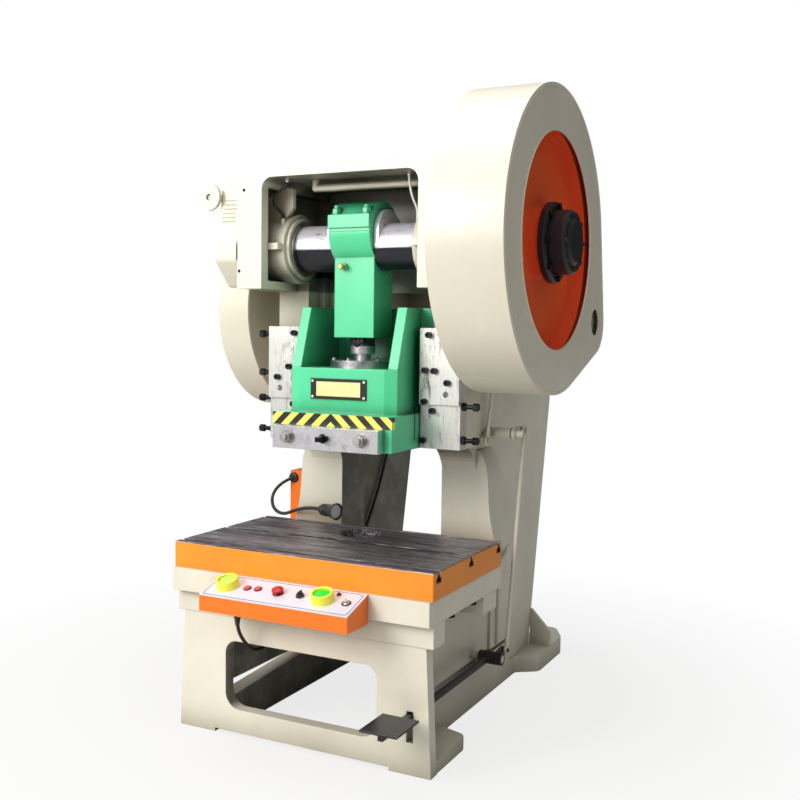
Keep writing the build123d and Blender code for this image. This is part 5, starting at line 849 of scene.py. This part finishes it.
def bent_band(half, face, low, high, back, thickness):
    """Strip bent round a square block: its corners are mitred, and both ends stop at the same depth."""
    inner = [(-half, face + back), (-half, face), (half, face), (half, face + back)]
    outer = [(-half - thickness, face + back), (-half - thickness, face - thickness),
             (half + thickness, face - thickness), (half + thickness, face + back)]
    return np.array([[(a[0], a[1], low), (a[0], a[1], high), (b[0], b[1], high), (b[0], b[1], low)]
                     for a, b in zip(inner, outer)])


build("hazard_band", [bent_band(BAND_HALF, SLIDE_FRONT, BAND_LOW, BAND_HIGH, BAND_RETURN, BAND_THICK)],
      stripes, "ram", 20)


# Work lamp: ribbed arm and stepped head with its bulb ring

ARM_STEP, ARM_RADIUS, ARM_RIB, ARM_PITCH = 0.0011, 0.0064, 0.0006, 0.0048
lamp_route = [
    (-0.545, 0.050, 0.778), (-0.580, 0.015, 0.760), (-0.612, -0.010, 0.705), (-0.580, -0.045, 0.655),
    (-0.500, -0.090, 0.645), (-0.413, -0.130, 0.680), (-0.330, -0.165, 0.702), (-0.268, -0.186, 0.704),
]
arm_path = evenly(route_points(lamp_route, 40), ARM_STEP)
ribs = ARM_RADIUS + ARM_RIB * np.cos(np.arange(len(arm_path)) * 2 * math.pi * ARM_STEP / ARM_PITCH)
arm_outline = ribs[:, None, None] * ring_outline(1.0, 14)[None]
lamp_foot = turned([(0.0, 0.0), (0.0218, 0.0), (0.0218, 0.006), (0.019, 0.0088), (0.012, 0.0096),
                    (0.0, 0.0098)], (lamp_route[0][0], 0.060, lamp_route[0][2]), FORWARD, 40)
gooseneck = build("ribbed_lamp_arm", [carried(arm_path, arm_outline), lamp_foot], black_moulding, "frame",
                  60)
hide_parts("lamp_arm")
lamp_axis = np.array(lamp_route[-1]) - np.array(lamp_route[-2])
lamp_profile = [
    (0.0, 0.0), (0.0115, 0.0), (0.0128, 0.002), (0.0148, 0.004), (0.0148, 0.015), (0.021, 0.017),
    (0.0228, 0.021), (0.0232, 0.030), (0.0222, 0.0312), (0.0222, 0.0328), (0.0236, 0.034), (0.0238, 0.040),
    (0.0228, 0.0412), (0.0228, 0.0428), (0.0241, 0.044), (0.0247, 0.072), (0.0262, 0.076), (0.0322, 0.0965),
    (0.0328, 0.0998), (0.0306, 0.0998), (0.0296, 0.0962), (0.0236, 0.076), (0.0, 0.074),
]
lamp_shade = build("lamp_shade", [turned(lamp_profile, lamp_route[-1], lamp_axis, 64)], black_enamel, "frame")
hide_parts("lamp_head")
lamp_glass = turned([(0.0, 0.0885), (0.0262, 0.0885), (0.0275, 0.0905), (0.0268, 0.0925), (0.014, 0.0945),
                     (0.0, 0.0952)], lamp_route[-1], lamp_axis, 48)
build("lamp_lens", [lamp_glass], white_moulding, "frame")


# Clamping screws of the lock nut under the rod

LOCK_NUT_FRONT = DIE_Y - 0.042
build("lock_nut_screws", [
    turned([(0.0, -0.004), (0.0105, -0.004), (0.0125, -0.002), (0.0125, 0.0055), (0.0108, 0.0075),
            (0.0062, 0.0078), (0.0056, 0.0045), (0.0, 0.0042)], (x, LOCK_NUT_FRONT, z), FORWARD, 28)
    for x, z in ((-0.017, 1.3685), (0.017, 1.3685), (0.0, 1.3560))
], black_steel, "rod", 30)


# Oil hoses inside the head

left_oil_route = [
    (-0.243, -0.470, 1.941), (-0.243, -0.470, 1.914), (-0.270, -0.467, 1.906), (-0.303, -0.462, 1.884),
    (-0.312, -0.455, 1.856), (-0.302, -0.440, 1.838), (-0.290, -0.425, 1.824), (-0.290, -0.425, 1.806),
]
right_oil_route = [
    (0.233, -0.450, 1.941), (0.233, -0.450, 1.912), (0.243, -0.444, 1.858), (0.254, -0.430, 1.826),
    (0.255, -0.425, 1.808), (0.255, -0.425, 1.790),
]


def oil_union(name, place, direction, radius):
    """Compression union: a round seat, a hexagon nut with turned corners, and a sleeve over the hose."""
    seat = turned([(0.0, 0.0), (radius, 0.0), (radius, 0.0022), (0.0, 0.0022)], place, direction, 32)
    nut = turned([(0.0, 0.002), (radius * 0.86, 0.002), (radius * 0.95, 0.0032), (radius * 0.95, 0.0078),
                  (radius * 0.86, 0.009), (0.0, 0.009)], place, direction, 6)
    sleeve = turned([(0.0, 0.0088), (radius * 0.72, 0.0088), (radius * 0.72, 0.0108), (radius * 0.62, 0.012),
                     (0.0, 0.012)], place, direction, 24)
    return build(name, [seat, nut, sleeve], chrome, "frame", 30)


left_oil_union = oil_union("left_oil_union", left_oil_route[0], DOWN, 0.010)
right_oil_union = oil_union("right_oil_union", right_oil_route[0], DOWN, 0.009)
left_oil_hose = hose("left_oil_hose", left_oil_route, 0.010, black_rubber, "frame")
hose("right_oil_hose", right_oil_route, 0.008, white_moulding, "frame")
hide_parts("oil_pipes")


# Oil nipple on the rod: a green hexagon boss, and a brass body turned down in steps

NIPPLE_X, NIPPLE_Z = -0.038, 1.628
nipple_low, nipple_high = (np.array(corner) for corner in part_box("oil_nipple"))
nipple_root = (NIPPLE_X, nipple_high[1], NIPPLE_Z)
nipple_length = nipple_high[1] - nipple_low[1]
nipple_boss = turned([(0.0, -0.001), (0.0138, -0.001), (0.0138, 0.007), (0.0122, 0.0095), (0.0, 0.0098)],
                     nipple_root, FORWARD, 6)
build("nipple_boss", [nipple_boss], green_casting, "rod", 30)
nipple_body = turned([(0.0, 0.009), (0.0068, 0.009), (0.0078, 0.0115), (0.0078, 0.018), (0.0055, 0.0195),
                      (0.0055, 0.027), (0.0072, 0.0285), (0.0098, 0.0305), (0.0098, nipple_length - 0.003),
                      (0.0078, nipple_length - 0.0005), (0.0, nipple_length - 0.0005)],
                     nipple_root, FORWARD, 28)
brass_nipple = build("brass_nipple", [nipple_body], bronze, "rod", 30)
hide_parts("oil_nipple")


# Rolled seams round the two drum guards, and the hem of the opening in the gear guard

GEAR_GUARD = ((DIE_Y, GUARD_Z, 0.505), (SHAFT_Y, SHAFT_Z, 0.115))
WHEEL_GUARD = ((0.06040, 1.480, 0.388), (MOTOR_Y, MOTOR_Z, 0.110))
GUARD_OPENING = 0.3585
GUARD_FACE = 0.7298
SEAM_RADIUS, HEM_RADIUS = 0.0022, 0.0028


def bead(name, path, radius):
    """Round bead along a closed path on one of a guard's side plates."""
    points, faces = ring_tube(path, ring_outline(radius, 10))
    mesh_piece(name, points, faces, cream_sheet, "frame", 60)


for name, circles, x, inset in (
    ("gear_guard_far_seam", GEAR_GUARD, GUARD_FACE, 0.009),
    ("gear_guard_near_seam", GEAR_GUARD, 0.4802, 0.009),
    ("wheel_guard_near_seam", WHEEL_GUARD, -0.5122, 0.007),
    ("wheel_guard_far_seam", WHEEL_GUARD, -0.6458, 0.007),
):
    bead(name, drum_outline(*circles, x, inset), SEAM_RADIUS)
bead("gear_opening_hem", np.array([
    (GUARD_FACE, DIE_Y + GUARD_OPENING * math.cos(a), GUARD_Z + GUARD_OPENING * math.sin(a))
    for a in spin_angles(180)]), HEM_RADIUS)


# Louvres of the brake cover, pressed out of its front slope, and the small screws of the head's rims

LOUVRE_X, LOUVRE_Z, LOUVRE_PITCH, LOUVRES = -0.462, 1.792, 0.0155, 7
COVER_FOOT_Y, COVER_FOOT_Z, COVER_LEAN = DIE_Y - 0.204, 1.705, 0.036 / 0.155
COVER_UP, COVER_OUT = (0, 0.226, 0.974), (0, -0.974, 0.226)
louvre_levels = [(0.0, -0.0004), (0.0004, 0.0012), (0.0014, 0.0026), (0.0030, 0.0032)]
build("brake_cover_louvres", [
    slab(0.030, 0.0026, 0.0024, louvre_levels, (LOUVRE_X, COVER_FOOT_Y + COVER_LEAN * (z - COVER_FOOT_Z), z),
         (1, 0, 0), COVER_UP, COVER_OUT, 5)
    for z in LOUVRE_Z + LOUVRE_PITCH * np.arange(LOUVRES)
], cream_sheet, "frame", 40)
build("head_rim_screws", [
    turned(dome(0.0058, 0.0, 0.0042, 0.0016, 4), (x, HEAD_FRONT + 0.0002, z), FORWARD, 24)
    for x, z in ((-0.385, 1.900), (-0.405, 1.612), (0.398, 1.905), (0.398, 1.66))
], black_steel, "frame", 30)
